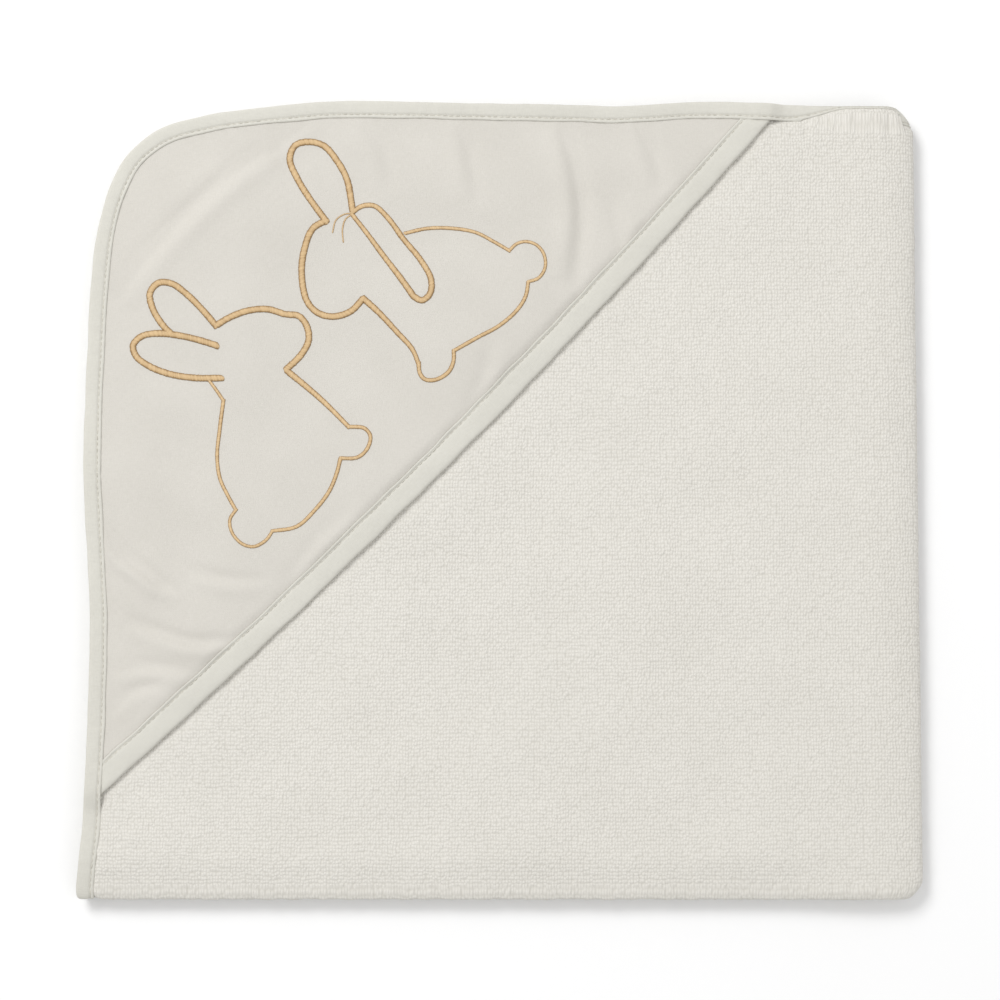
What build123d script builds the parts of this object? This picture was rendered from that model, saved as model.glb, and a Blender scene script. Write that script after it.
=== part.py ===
from build123d import *
import math
import os

# Hooded baby towel, folded in quarters and lying flat with the hooded corner on top.
# Millimetres. Origin at the centre of the footprint on the table, +X to the hood's right,
# +Y towards the hood's top edge, +Z up. The two open sides are -X and +Y, where the four
# layers show their bound edges. The two folded sides are +X and -Y.

# ---- driving dimensions ----
WIDTH = 378.0                # folded towel along X
LENGTH = 360.8               # folded towel along Y
TERRY_T = 3.0                # terry cloth, loops included
TONGUE_T = 1.4               # terry squeezed inside the binding

BIND_W = 8.0                 # perimeter binding, across its face
BIND_WALL = 0.6              # one face of the folded tape
BIND_EDGE = 1.0              # its rolled outer edge
BIND_RECESS = 0.2            # binding's faces below the terry's loops
STITCH_IN = 6.2              # topstitching, from the binding's outer edge
STITCH_W = 0.5
STITCH_T = 0.2

OPEN_LEFT_STEP = 1.5         # third and bottom layers lie this far inside on the left
OPEN_TOP_STEP = 2.0          # second and third layers lie this far inside at the top

SIDE_AXIS_Z = 6.5            # right-hand fold turns about this height
OUTER_FOLD_R = 6.5           # outside radius of the right-hand fold
BOTTOM_FOLD_R = 3.1          # outside radius of each bottom fold

TOP_Z = 10.0                 # underside of the top layer
SECOND_Z = 6.8
THIRD_Z = 3.2
BOTTOM_Z = 0.0

HOOD_Z = 13.6                # underside of the hood's face panel
HOOD_T = 0.6                 # woven cotton panel
HOOD_BIND_W = 11.0           # binding along the hood's long edge
HOOD_BIND_WALL = 0.5
HOOD_STITCH_IN = 9.3         # from the long edge
HOOD_CORNER_TOP = 14.8       # binding where it also takes in the hood panel
BACKING_T = 0.2              # stabiliser behind the embroidery
THREAD_T = 0.7               # height of the satin stitch
OUTLINE_W = 3.1              # satin stitch of ears and heads
CHEST_W = 2.2
BODY_W = 1.7
TAIL_W = 1.3
LASH_W = 0.6

CREASE_C = -25.5             # the turning crease lies on x - y = CREASE_C
CREASE_HALF_W = 4.0          # half of the cloth strip that bends there
SIDE_HINGE_OUT = 4.5         # the right-hand fold opens about a line this far past its start
CREASE_HINGE_Z = 15.5        # the hooded corner turns back about this height
REACH = 600.0                # larger than the towel, for cutting shapes
SPARE = 30.0                 # how far an outline runs on past a fold

# ---- derived places ----
LEFT_X = -WIDTH / 2
TOP_Y = LENGTH / 2
FOLD_X = WIDTH / 2 - OUTER_FOLD_R
FOLD_Y = -LENGTH / 2 + BOTTOM_FOLD_R
SQUEEZE = (TERRY_T - TONGUE_T) / 2
HOOD_TOP = HOOD_Z + HOOD_T
UPPER_FOLD_Z = (TOP_Z + SECOND_Z + TERRY_T) / 2
LOWER_FOLD_Z = (THIRD_Z + BOTTOM_Z + TERRY_T) / 2
SIDE_AXIS = Axis((FOLD_X, 0, SIDE_AXIS_Z), (0, 1, 0))

# ---- the towel's outline on its two open sides ----
# The left edge leans in a little and rounds into the top edge at the hood's point.
EDGE_START = (LEFT_X, -172.0)
EDGE_END = (-185.2, 70.0)
ARC_1 = (EDGE_END, (-183.4, 105.0), (-178.5, 137.0))
ARC_2 = (ARC_1[2], (-169.6, 155.2), (-152.0, 168.4))
ARC_3 = (ARC_2[2], (-116.0, 177.2), (-78.0, TOP_Y))


def towel_outline(inset):
    """The sheet's plan inside its bound edges by inset; it runs on past both folds."""
    far_x = FOLD_X + SPARE
    far_y = FOLD_Y - SPARE
    arcs = [ThreePointArc(*points) for points in (ARC_1, ARC_2, ARC_3)]
    rest = Polyline(
        ARC_3[2],
        (far_x, TOP_Y),
        (far_x, far_y),
        (LEFT_X, far_y),
        EDGE_START,
        EDGE_END,
    )
    plan = make_face([*arcs, rest])
    return plan if inset == 0 else offset(plan, amount=-inset)


OUTER = towel_outline(0)
TONGUE = towel_outline(BIND_EDGE)
STITCH_OUT = towel_outline(STITCH_IN)
STITCH_BACK = towel_outline(STITCH_IN + STITCH_W)
INNER = towel_outline(BIND_W)

QUARTER = Pos(FOLD_X - REACH / 2, FOLD_Y + REACH / 2) * Rectangle(REACH, REACH)


def beyond_crease(distance):
    """The half plane on the hood's side of the line that lies distance past the crease."""
    shift = REACH / 2 + distance
    middle_x = CREASE_C / 2 - shift * math.sqrt(0.5)
    middle_y = -CREASE_C / 2 + shift * math.sqrt(0.5)
    return Pos(middle_x, middle_y) * Rot(0, 0, 45) * Rectangle(2 * REACH, REACH)


HOOD_SIDE = beyond_crease(CREASE_HALF_W)
CREASE_SIDE = beyond_crease(-CREASE_HALF_W)

# The hood's long edge bows outwards a little: an arc through its two ends and its middle.
HOOD_ARC = ThreePointArc((123.0, 171.4), (-25.0, 11.8), (-176.8, -132.6))
HOOD_CENTRE = HOOD_ARC.arc_center
HOOD_RADIUS = HOOD_ARC.radius


def hood_plan(inset):
    """Everything on the hood's side of its long edge, drawn in by inset."""
    return Pos(HOOD_CENTRE.X, HOOD_CENTRE.Y) * Circle(HOOD_RADIUS - inset)


def slab(plan, low, high):
    """A flat plan given thickness between two heights."""
    return Pos(0, 0, low) * extrude(plan, amount=high - low)


def terry(z, keep):
    """One terry layer: full loops inside the binding, and a squeezed tongue under it."""
    loops = slab(INNER & keep, z, z + TERRY_T)
    tongue = slab(TONGUE & keep, z + SQUEEZE, z + SQUEEZE + TONGUE_T)
    return loops + tongue


def binding(z, keep):
    """The tape folded over the sheet's edge."""
    shell = slab((OUTER - INNER) & keep, z + BIND_RECESS, z + TERRY_T - BIND_RECESS)
    slot = slab((TONGUE - INNER) & keep, z + SQUEEZE, z + SQUEEZE + TONGUE_T)
    return shell - slot


def topstitch(z, keep):
    """The thread lines on both faces of the binding."""
    line = (STITCH_OUT - STITCH_BACK) & keep
    return slab(line, z, z + STITCH_T) + slab(line, z + TERRY_T - STITCH_T, z + TERRY_T)


def layer_keep(left_step, top_step):
    """The quarter's window, moved so that a stepped-in layer still ends at the folds."""
    return Pos(-left_step, top_step) * QUARTER


def export(name, shape):
    """Writes one named piece, as its solids, to its own file."""
    solids = shape.solids()
    whole = solids[0] if len(solids) == 1 else Compound(children=list(solids))
    whole.label = name
    export_step(whole, f"parts/{name}.step")


# ---- fold sections, as rectangles across the cloth ----
def upright(low_y, high_y, low_z, high_z):
    """A rectangle in the plane of the right-hand fold's start."""
    face = Plane.YZ * Rectangle(high_y - low_y, high_z - low_z)
    return Pos(FOLD_X, (low_y + high_y) / 2, (low_z + high_z) / 2) * face


def along(low_x, high_x, low_z, high_z):
    """A rectangle in the plane of the bottom folds' start."""
    face = Plane.XZ * Rectangle(high_x - low_x, high_z - low_z)
    return Pos((low_x + high_x) / 2, FOLD_Y, (low_z + high_z) / 2) * face


def turned(sections, axis):
    """Cloth sections carried half a turn round a fold."""
    solids = [revolve(section, axis=axis, revolution_arc=180) for section in sections]
    whole = solids[0]
    for solid in solids[1:]:
        whole = whole + solid
    return whole


def fold_sections(frame, inner, outer, far, z):
    """Terry, binding and thread sections of one layer between a bound edge and a far end.

    frame draws a rectangle from two places across the cloth and two heights. outer is the
    bound edge, and inner says which way the cloth lies from it (+1 or -1).
    """
    def rect(a, b, low_z, high_z):
        return frame(min(a, b), max(a, b), low_z, high_z)

    root = outer + inner * BIND_W
    tip = outer + inner * BIND_EDGE
    loops = rect(root, far, z, z + TERRY_T)
    tongue = rect(tip, root, z + SQUEEZE, z + SQUEEZE + TONGUE_T)
    low_wall = rect(outer, root, z + BIND_RECESS, z + SQUEEZE)
    high_wall = rect(outer, root, z + SQUEEZE + TONGUE_T, z + TERRY_T - BIND_RECESS)
    edge = rect(outer, tip, z + SQUEEZE, z + SQUEEZE + TONGUE_T)
    near = outer + inner * STITCH_IN
    back = outer + inner * (STITCH_IN + STITCH_W)
    low_thread = rect(near, back, z, z + STITCH_T)
    high_thread = rect(near, back, z + TERRY_T - STITCH_T, z + TERRY_T)
    return {
        "terry": [loops, tongue],
        "binding": [low_wall, edge, high_wall],
        "topstitch": [low_thread, high_thread],
    }


os.makedirs("parts", exist_ok=True)

# ---- the four layers ----
LAYERS = {
    "second_layer": (SECOND_Z, 0.0, OPEN_TOP_STEP),
    "third_layer": (THIRD_Z, OPEN_LEFT_STEP, OPEN_TOP_STEP),
    "bottom_layer": (BOTTOM_Z, OPEN_LEFT_STEP, 0.0),
}
for name, (z, left_step, top_step) in LAYERS.items():
    keep = layer_keep(left_step, top_step)
    place = Pos(left_step, -top_step)
    export(f"{name}_terry", place * terry(z, keep))
    export(f"{name}_binding", place * binding(z, keep))
    export(f"{name}_topstitch", place * topstitch(z, keep))

main_keep = QUARTER - CREASE_SIDE
crease_keep = QUARTER & (CREASE_SIDE - HOOD_SIDE)
for name, keep in (("top_layer", main_keep), ("hood_crease", crease_keep)):
    export(f"{name}_terry", terry(TOP_Z, keep))
    export(f"{name}_binding", binding(TOP_Z, keep))
    export(f"{name}_topstitch", topstitch(TOP_Z, keep))

# ---- the hooded corner of the top layer ----
corner_keep = QUARTER & HOOD_SIDE
export("hood_corner_terry", terry(TOP_Z, corner_keep))

hood_area = hood_plan(0)
plain_keep = corner_keep - hood_area
tall_shell = slab((OUTER - INNER) & hood_area, TOP_Z + BIND_RECESS, HOOD_CORNER_TOP)
tall_slot = slab((TONGUE - INNER) & hood_area, TOP_Z + SQUEEZE, HOOD_TOP)
export("hood_corner_binding", (tall_shell - tall_slot) + binding(TOP_Z, plain_keep))

stitch_line = STITCH_OUT - STITCH_BACK
hood_thread = slab(stitch_line & hood_area, HOOD_CORNER_TOP, HOOD_CORNER_TOP + STITCH_T)
plain_thread = slab(stitch_line & plain_keep, TOP_Z + TERRY_T - STITCH_T, TOP_Z + TERRY_T)
under_thread = slab(stitch_line & corner_keep, TOP_Z, TOP_Z + STITCH_T)
export("hood_corner_topstitch", hood_thread + plain_thread + under_thread)

export("hood_face_panel", slab(TONGUE & hood_plan(BIND_EDGE), HOOD_Z, HOOD_TOP))

edge_band = (hood_area - hood_plan(HOOD_BIND_W)) & INNER
edge_slot = (hood_plan(BIND_EDGE) - hood_plan(HOOD_BIND_W)) & INNER
edge_shell = slab(edge_band, HOOD_Z - HOOD_BIND_WALL, HOOD_TOP + HOOD_BIND_WALL)
export("hood_edge_binding", edge_shell - slab(edge_slot, HOOD_Z, HOOD_TOP))
edge_line = (hood_plan(HOOD_STITCH_IN) - hood_plan(HOOD_STITCH_IN + STITCH_W)) & INNER
edge_thread_z = HOOD_TOP + HOOD_BIND_WALL
export("hood_edge_topstitch", slab(edge_line, edge_thread_z, edge_thread_z + STITCH_T))

# ---- the two embroidered rabbits, each a few satin stitch strokes ----
RIGHT_RABBIT = [
    (OUTLINE_W, [(-79, 125), (-90, 141), (-95.5, 154), (-87, 161), (-75, 154), (-67, 130)]),
    (OUTLINE_W, [(-67, 128), (-57, 132), (-44, 116), (-31, 98), (-35, 88), (-44, 97), (-65, 125)]),
    (OUTLINE_W, [(-79, 125), (-88, 114), (-89, 95), (-83, 83), (-72, 82), (-62, 90)]),
    (CHEST_W, [(-61, 88), (-45, 72), (-37, 62), (-36, 55), (-30, 52), (-22, 57), (-21, 66)]),
    (BODY_W, [(-21, 65), (-9, 72), (6, 82), (12, 93), (13, 97)]),
    (TAIL_W, [(13, 97), (20, 102), (19, 111), (12, 115), (4, 111)]),
    (BODY_W, [(3, 112), (-10, 119.5), (-26, 122), (-44, 119)]),
    (LASH_W, [(-72, 127.5), (-75.5, 124), (-75.5, 119.5)]),
    (LASH_W, [(-71, 124), (-71.5, 120), (-71, 115)]),
]
LEFT_RABBIT = [
    (OUTLINE_W, [(-128, 77), (-139, 89), (-152, 97), (-158.5, 90), (-153, 78), (-148, 74)]),
    (OUTLINE_W, [(-128, 68), (-146, 73), (-162, 72), (-165, 65), (-152, 56), (-125, 53)]),
    (OUTLINE_W, [(-128, 77), (-116, 83), (-101, 84), (-90, 81), (-86.5, 71), (-96, 57)]),
    (CHEST_W, [(-96, 57), (-83, 46), (-68, 31)]),
    (BODY_W, [(-68, 31), (-60, 30), (-59, 22), (-64, 17), (-72, 17)]),
    (BODY_W, [(-72, 17), (-75, 6), (-85, -9), (-93, -15), (-102, -16)]),
    (TAIL_W, [(-102, -16), (-106, -21), (-114, -22.5), (-121, -16), (-118.5, -7)]),
    (BODY_W, [(-118.5, -7), (-126, 7), (-127, 20), (-124.5, 43)]),
    (TAIL_W, [(-124.5, 43), (-128, 48), (-131.5, 52)]),
]
BACKING_CORNERS = [
    (-168, 48),
    (-166, 102),
    (-108, 158),
    (-62, 164),
    (25, 118),
    (25, 90),
    (-16, 50),
    (-56, 8),
    (-96, -24),
    (-124, -24),
]
BACKING_ROUND = 4.0          # the stabiliser's cut corners
STEPS = 10                   # places where a stroke's width is set out


def stroke(width, points):
    """A satin stitch line of even width along a smooth run of points, with round ends."""
    line = Spline(points)
    left = []
    right = []
    for step in range(STEPS + 1):
        along_line = step / STEPS
        place = line @ along_line
        way = line % along_line
        side = Vector(-way.Y, way.X) * (width / 2)
        left.append((place.X + side.X, place.Y + side.Y))
        right.append((place.X - side.X, place.Y - side.Y))
    right.reverse()
    face = make_face(
        [Spline(left), Line(left[-1], right[0]), Spline(right), Line(right[-1], left[0])]
    )
    ends = [Pos(*points[i]) * Circle(width / 2) for i in (0, -1)]
    return face + ends[0] + ends[1]


def motif(strokes):
    """All strokes of one rabbit, raised on the hood's face panel."""
    raised = [slab(stroke(width, points), HOOD_TOP, HOOD_TOP + THREAD_T) for width, points in strokes]
    whole = raised[0]
    for piece in raised[1:]:
        whole = whole + piece
    return whole


export("right_rabbit_embroidery", motif(RIGHT_RABBIT))
export("left_rabbit_embroidery", motif(LEFT_RABBIT))
backing = offset(make_face(Polyline(*BACKING_CORNERS, close=True)), amount=BACKING_ROUND)
export("embroidery_backing", slab(backing, HOOD_Z - BACKING_T, HOOD_Z))

# ---- the folds ----
side_folds = {
    "outer_side_fold": (TOP_Z, 0.0),
    "inner_side_fold": (SECOND_Z, OPEN_TOP_STEP),
}
for name, (z, top_step) in side_folds.items():
    sections = fold_sections(upright, -1, TOP_Y - top_step, FOLD_Y, z)
    for piece, faces in sections.items():
        export(f"{name}_{piece}", turned(faces, SIDE_AXIS))

bottom_folds = {
    "upper_bottom_fold": (TOP_Z, 0.0, UPPER_FOLD_Z),
    "lower_bottom_fold": (THIRD_Z, OPEN_LEFT_STEP, LOWER_FOLD_Z),
}
for name, (z, left_step, axis_z) in bottom_folds.items():
    axis = Axis((0, FOLD_Y, axis_z), (1, 0, 0))
    sections = fold_sections(along, 1, LEFT_X + left_step, FOLD_X, z)
    for piece, faces in sections.items():
        export(f"{name}_{piece}", turned(faces, axis))

# Where the bottom fold itself turns round the right-hand fold.
ring = Circle(BOTTOM_FOLD_R) - Circle(BOTTOM_FOLD_R - TERRY_T)
half_ring = ring & (Pos(-REACH / 2, 0) * Rectangle(REACH, REACH))
corner_section = Pos(FOLD_X, FOLD_Y, UPPER_FOLD_Z) * (Plane.YZ * half_ring)
export("corner_fold_terry", turned([corner_section], SIDE_AXIS))

crease_foot = (CREASE_C / 2, -CREASE_C / 2, CREASE_HINGE_Z)
print("side fold opens about -Y through", (FOLD_X + SIDE_HINGE_OUT, 0, SIDE_AXIS_Z))
print("hooded corner turns back about (1, 1, 0) through", crease_foot)
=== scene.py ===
"""Hooded baby towel folded in quarters: the visible model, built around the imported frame.

Lengths are in millimetres until a mesh is made, and in metres from there on.
"""

import logging
import math
from dataclasses import dataclass, field
from enum import Enum

import bpy
import numpy as np
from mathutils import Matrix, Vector


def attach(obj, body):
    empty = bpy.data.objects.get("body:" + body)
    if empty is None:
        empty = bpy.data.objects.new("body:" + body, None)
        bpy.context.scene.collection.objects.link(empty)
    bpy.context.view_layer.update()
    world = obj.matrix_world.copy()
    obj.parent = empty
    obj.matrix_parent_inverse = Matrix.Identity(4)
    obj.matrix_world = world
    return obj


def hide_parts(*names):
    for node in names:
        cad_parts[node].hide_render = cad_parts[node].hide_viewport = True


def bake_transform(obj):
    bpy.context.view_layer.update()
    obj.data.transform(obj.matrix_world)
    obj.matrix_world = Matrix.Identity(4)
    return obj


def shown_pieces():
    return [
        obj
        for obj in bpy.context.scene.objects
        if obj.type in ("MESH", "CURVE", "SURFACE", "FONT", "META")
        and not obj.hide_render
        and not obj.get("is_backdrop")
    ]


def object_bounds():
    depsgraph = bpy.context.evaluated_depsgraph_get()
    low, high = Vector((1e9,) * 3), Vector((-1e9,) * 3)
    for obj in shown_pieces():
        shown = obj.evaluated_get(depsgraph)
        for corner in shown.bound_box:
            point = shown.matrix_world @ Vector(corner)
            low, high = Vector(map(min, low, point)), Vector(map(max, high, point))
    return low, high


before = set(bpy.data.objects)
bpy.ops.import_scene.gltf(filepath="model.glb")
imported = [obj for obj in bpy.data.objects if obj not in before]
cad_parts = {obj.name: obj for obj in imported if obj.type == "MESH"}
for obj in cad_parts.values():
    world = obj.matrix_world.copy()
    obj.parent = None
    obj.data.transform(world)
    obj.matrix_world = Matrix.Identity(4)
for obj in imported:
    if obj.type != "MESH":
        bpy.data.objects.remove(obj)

logging.basicConfig(level=logging.INFO, format="%(message)s")
log = logging.getLogger("towel")

MM = 0.001
SEED = 11
GUARD = 0.03
CUT_INSET = 1.6
CAD_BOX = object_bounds()


class Body(Enum):
    """The moving bodies of the frame."""

    UPPER = "upper_half"
    LOWER = "lower_half"
    HOOD = "hood_corner"


class Slot(Enum):
    """The record's material slots."""

    TERRY = "terry_cloth"
    HOOD = "hood_cotton"
    BINDING = "binding_cotton"
    SEAM = "seam_thread"
    GOLD = "gold_thread"
    STABILISER = "stabiliser"


# ---------------------------------------------------------------- small helpers
def smooth(value: np.ndarray) -> np.ndarray:
    """Smoothstep of value, held between 0 and 1."""
    held = np.clip(value, 0.0, 1.0)
    return held * held * (3 - 2 * held)


def lumps(x: np.ndarray, y: np.ndarray, size: float, seed: int, waves: int = 9) -> np.ndarray:
    """Soft irregular lumps of about the given size, from -1 to 1.

    Args:
        x, y: places in millimetres.
        size: the lumps' usual width in millimetres.
        seed: which lumps.
        waves: how many plane waves are added up.

    Returns:
        One height for each place.
    """
    draw = np.random.default_rng(seed)
    total = np.zeros(np.broadcast(x, y).shape)
    for _ in range(waves):
        angle = draw.uniform(0, 2 * math.pi)
        pitch = size * draw.uniform(1.4, 3.0)
        phase = draw.uniform(0, 2 * math.pi)
        run = x * math.cos(angle) + y * math.sin(angle)
        total += np.sin(2 * math.pi * run / pitch + phase)
    return total / math.sqrt(waves * 2.0)


def spline_through(points: list[tuple[float, float]], step: float) -> np.ndarray:
    """A smooth line through given points, sampled evenly.

    Args:
        points: places that the line passes, in order.
        step: the distance between samples.

    Returns:
        The samples, one row each.
    """
    knots = np.array(points, float)
    ends = np.vstack([2 * knots[0] - knots[1], knots, 2 * knots[-1] - knots[-2]])
    fine = []
    for i in range(1, len(ends) - 2):
        p0, p1, p2, p3 = ends[i - 1 : i + 3]
        k0 = 0.0
        k1 = k0 + math.sqrt(np.linalg.norm(p1 - p0))
        k2 = k1 + math.sqrt(np.linalg.norm(p2 - p1))
        k3 = k2 + math.sqrt(np.linalg.norm(p3 - p2))
        t = np.linspace(k1, k2, 24, endpoint=False)[:, None]
        a1 = (k1 - t) / (k1 - k0) * p0 + (t - k0) / (k1 - k0) * p1
        a2 = (k2 - t) / (k2 - k1) * p1 + (t - k1) / (k2 - k1) * p2
        a3 = (k3 - t) / (k3 - k2) * p2 + (t - k2) / (k3 - k2) * p3
        b1 = (k2 - t) / (k2 - k0) * a1 + (t - k0) / (k2 - k0) * a2
        b2 = (k3 - t) / (k3 - k1) * a2 + (t - k1) / (k3 - k1) * a3
        fine.append((k2 - t) / (k2 - k1) * b1 + (t - k1) / (k2 - k1) * b2)
    line = np.vstack([*fine, knots[-1:]])
    run = np.concatenate([[0], np.cumsum(np.linalg.norm(np.diff(line, axis=0), axis=1))])
    count = max(2, int(round(run[-1] / step)) + 1)
    at = np.linspace(0, run[-1], count)
    return np.stack([np.interp(at, run, line[:, k]) for k in range(2)], axis=1)


@dataclass
class Line:
    """A flat line with its own length, directions and distance measure."""

    points: np.ndarray
    run: np.ndarray = field(init=False)
    along: np.ndarray = field(init=False)
    inward: np.ndarray = field(init=False)

    def __post_init__(self) -> None:
        """Works out the length run, the directions and the normals to the right of the line."""
        steps = np.linalg.norm(np.diff(self.points, axis=0), axis=1)
        self.run = np.concatenate([[0], np.cumsum(steps)])
        way = np.gradient(self.points, axis=0)
        self.along = way / np.linalg.norm(way, axis=1)[:, None]
        self.inward = np.stack([self.along[:, 1], -self.along[:, 0]], axis=1)

    @property
    def length(self) -> float:
        """The line's whole length."""
        return float(self.run[-1])

    def at(self, s: np.ndarray) -> tuple[np.ndarray, np.ndarray]:
        """The places and normals at lengths s along the line."""
        place = np.stack([np.interp(s, self.run, self.points[:, k]) for k in range(2)], axis=-1)
        normal = np.stack([np.interp(s, self.run, self.inward[:, k]) for k in range(2)], axis=-1)
        return place, normal / np.linalg.norm(normal, axis=-1, keepdims=True)

    def distance(self, x: np.ndarray, y: np.ndarray) -> tuple[np.ndarray, np.ndarray]:
        """How far places are from the line, positive on its right.

        Args:
            x, y: the places.

        Returns:
            The signed distances, and the lengths along the line of the nearest points.
        """
        flat = np.stack([np.ravel(x), np.ravel(y)], axis=1)
        a, b = self.points[:-1], self.points[1:]
        edge = b - a
        size = (edge * edge).sum(1)
        best = np.empty(len(flat))
        where = np.empty(len(flat))
        for first in range(0, len(flat), 20000):
            chunk = flat[first : first + 20000]
            off = chunk[:, None, :] - a[None]
            t = np.clip((off * edge).sum(2) / size, 0, 1)
            gap = off - t[:, :, None] * edge
            far = (gap * gap).sum(2)
            near = far.argmin(1)
            rows = np.arange(len(chunk))
            cross = edge[near, 0] * off[rows, near, 1] - edge[near, 1] * off[rows, near, 0]
            best[first : first + 20000] = -np.sign(cross) * np.sqrt(far[rows, near])
            step = self.run[near + 1] - self.run[near]
            where[first : first + 20000] = self.run[near] + t[rows, near] * step
        return best.reshape(np.shape(x)), where.reshape(np.shape(x))


def make_piece(
    name: str,
    places: np.ndarray,
    faces: np.ndarray,
    finish: bpy.types.Material,
    cloth: np.ndarray,
    extra: dict[str, np.ndarray] | None = None,
    crisp: np.ndarray | None = None,
) -> bpy.types.Object:
    """A mesh object in the frame, with the coordinates that its finish reads.

    Args:
        name: the piece's name.
        places: one row of millimetres for each point.
        faces: one row of four point numbers for each face; a triangle repeats its last one.
        finish: the material.
        cloth: the cloth's own flat coordinates of each point, in millimetres.
        extra: further point values by name.
        crisp: True for each face that is a cut end, and shaded flat.

    Returns:
        The object, linked to the scene.
    """
    mesh = bpy.data.meshes.new(name)
    quads = faces[faces[:, 2] != faces[:, 3]]
    tris = faces[faces[:, 2] == faces[:, 3]][:, :3]
    loops = np.concatenate([quads.ravel(), tris.ravel()])
    sizes = np.concatenate([np.full(len(quads), 4), np.full(len(tris), 3)])
    mesh.vertices.add(len(places))
    mesh.vertices.foreach_set("co", (places * MM).astype(np.float32).ravel())
    mesh.loops.add(len(loops))
    mesh.loops.foreach_set("vertex_index", loops.astype(np.int32))
    mesh.polygons.add(len(sizes))
    starts = np.concatenate([[0], np.cumsum(sizes)[:-1]])
    mesh.polygons.foreach_set("loop_start", starts.astype(np.int32))
    mesh.update(calc_edges=True)
    coordinates = mesh.attributes.new("cloth", "FLOAT_VECTOR", "POINT")
    coordinates.data.foreach_set("vector", cloth.astype(np.float32).ravel())
    for key, values in (extra or {}).items():
        layer = mesh.attributes.new(key, "FLOAT", "POINT")
        layer.data.foreach_set("value", values.astype(np.float32).ravel())
    if crisp is None:
        crisp = np.zeros(len(faces), bool)
    square = faces[:, 2] != faces[:, 3]
    ordered = np.concatenate([crisp[square], crisp[~square]])
    mesh.shade_smooth()
    mesh.polygons.foreach_set("use_smooth", ~ordered)
    mesh.materials.append(finish)
    piece = bpy.data.objects.new(name, mesh)
    bpy.context.scene.collection.objects.link(piece)
    return piece


def slab_faces(inside: np.ndarray) -> tuple[np.ndarray, np.ndarray, np.ndarray]:
    """The faces of a closed slab over the cells of a grid that are kept.

    Args:
        inside: True for each grid point that may be used.

    Returns:
        The grid points used, as flat numbers, the faces, and which of them are cut ends. The
        first half of the points is the upper side and the second half the lower side.
    """
    rows, cols = inside.shape
    cell = inside[:-1, :-1] & inside[1:, :-1] & inside[:-1, 1:] & inside[1:, 1:]
    number = np.arange(rows * cols).reshape(rows, cols)
    i, j = np.nonzero(cell)
    top = np.stack([number[i, j], number[i + 1, j], number[i + 1, j + 1], number[i, j + 1]], 1)
    used, flat = np.unique(top, return_inverse=True)
    top = flat.reshape(-1, 4)
    count = len(used)
    edges = np.concatenate([top[:, [k, (k + 1) % 4]] for k in range(4)])
    key = edges[:, 0] * count + edges[:, 1]
    back = edges[:, 1] * count + edges[:, 0]
    rim = edges[~np.isin(key, back)]
    walls = np.stack([rim[:, 1], rim[:, 0], rim[:, 0] + count, rim[:, 1] + count], 1)
    faces = np.concatenate([top, top[:, ::-1] + count, walls])
    crisp = np.arange(len(faces)) >= 2 * len(top)
    return used, faces, crisp


def guarded(values: np.ndarray) -> np.ndarray:
    """Grid values with one more just inside each end, so that a cut end shades only itself."""
    return np.concatenate([values[:1], [values[0] + GUARD], values[1:-1], [values[-1] - GUARD],
                           values[-1:]])


def tube_faces(rows: int, cols: int) -> np.ndarray:
    """The faces of a swept round section, with both ends closed.

    Args:
        rows: how many sections.
        cols: how many points in each.

    Returns:
        The faces, four point numbers each.
    """
    number = np.arange(rows * cols).reshape(rows, cols)
    a = number[:-1]
    b = number[1:]
    side = np.stack([a, np.roll(a, -1, 1), np.roll(b, -1, 1), b], 2).reshape(-1, 4)
    fan = []
    half = cols // 2
    for ring, turn in ((number[0], -1), (number[-1], 1)):
        for k in range(1, half):
            quad = [ring[k - 1], ring[k], ring[-k - 1], ring[-k]]
            fan.append(quad[::turn])
        if cols % 2:
            corner = [ring[half - 1], ring[half], ring[-half]][::turn]
            fan.append([*corner, corner[-1]])
    return np.concatenate([side, np.array(fan)])


def tape_faces(rows: int, cols: int, outside: int) -> tuple[np.ndarray, np.ndarray]:
    """The faces of a swept folded tape, whose two ends show only the tape's own thickness.

    Args:
        rows: how many sections.
        cols: how many points in each.
        outside: how many of them, the first ones, are on the outward side.

    Returns:
        The faces, and which of them are cut ends.
    """
    number = np.arange(rows * cols).reshape(rows, cols)
    a = number[:-1]
    b = number[1:]
    side = np.stack([a, np.roll(a, -1, 1), np.roll(b, -1, 1), b], 2).reshape(-1, 4)
    inner = cols - outside
    ends = []
    for ring, turn in ((number[0], -1), (number[-1], 1)):
        outer_way = ring[:outside]
        inner_way = ring[outside:][::-1]
        i = j = 0
        while i < outside - 1 or j < inner - 1:
            if j == inner - 1 or (i < outside - 1 and i / outside <= j / inner):
                corner = [outer_way[i], outer_way[i + 1], inner_way[j]]
                i += 1
            else:
                corner = [outer_way[i], inner_way[j + 1], inner_way[j]]
                j += 1
            corner = corner[::turn]
            ends.append([*corner, corner[-1]])
    faces = np.concatenate([side, np.array(ends)])
    return faces, np.arange(len(faces)) >= len(side)


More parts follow.
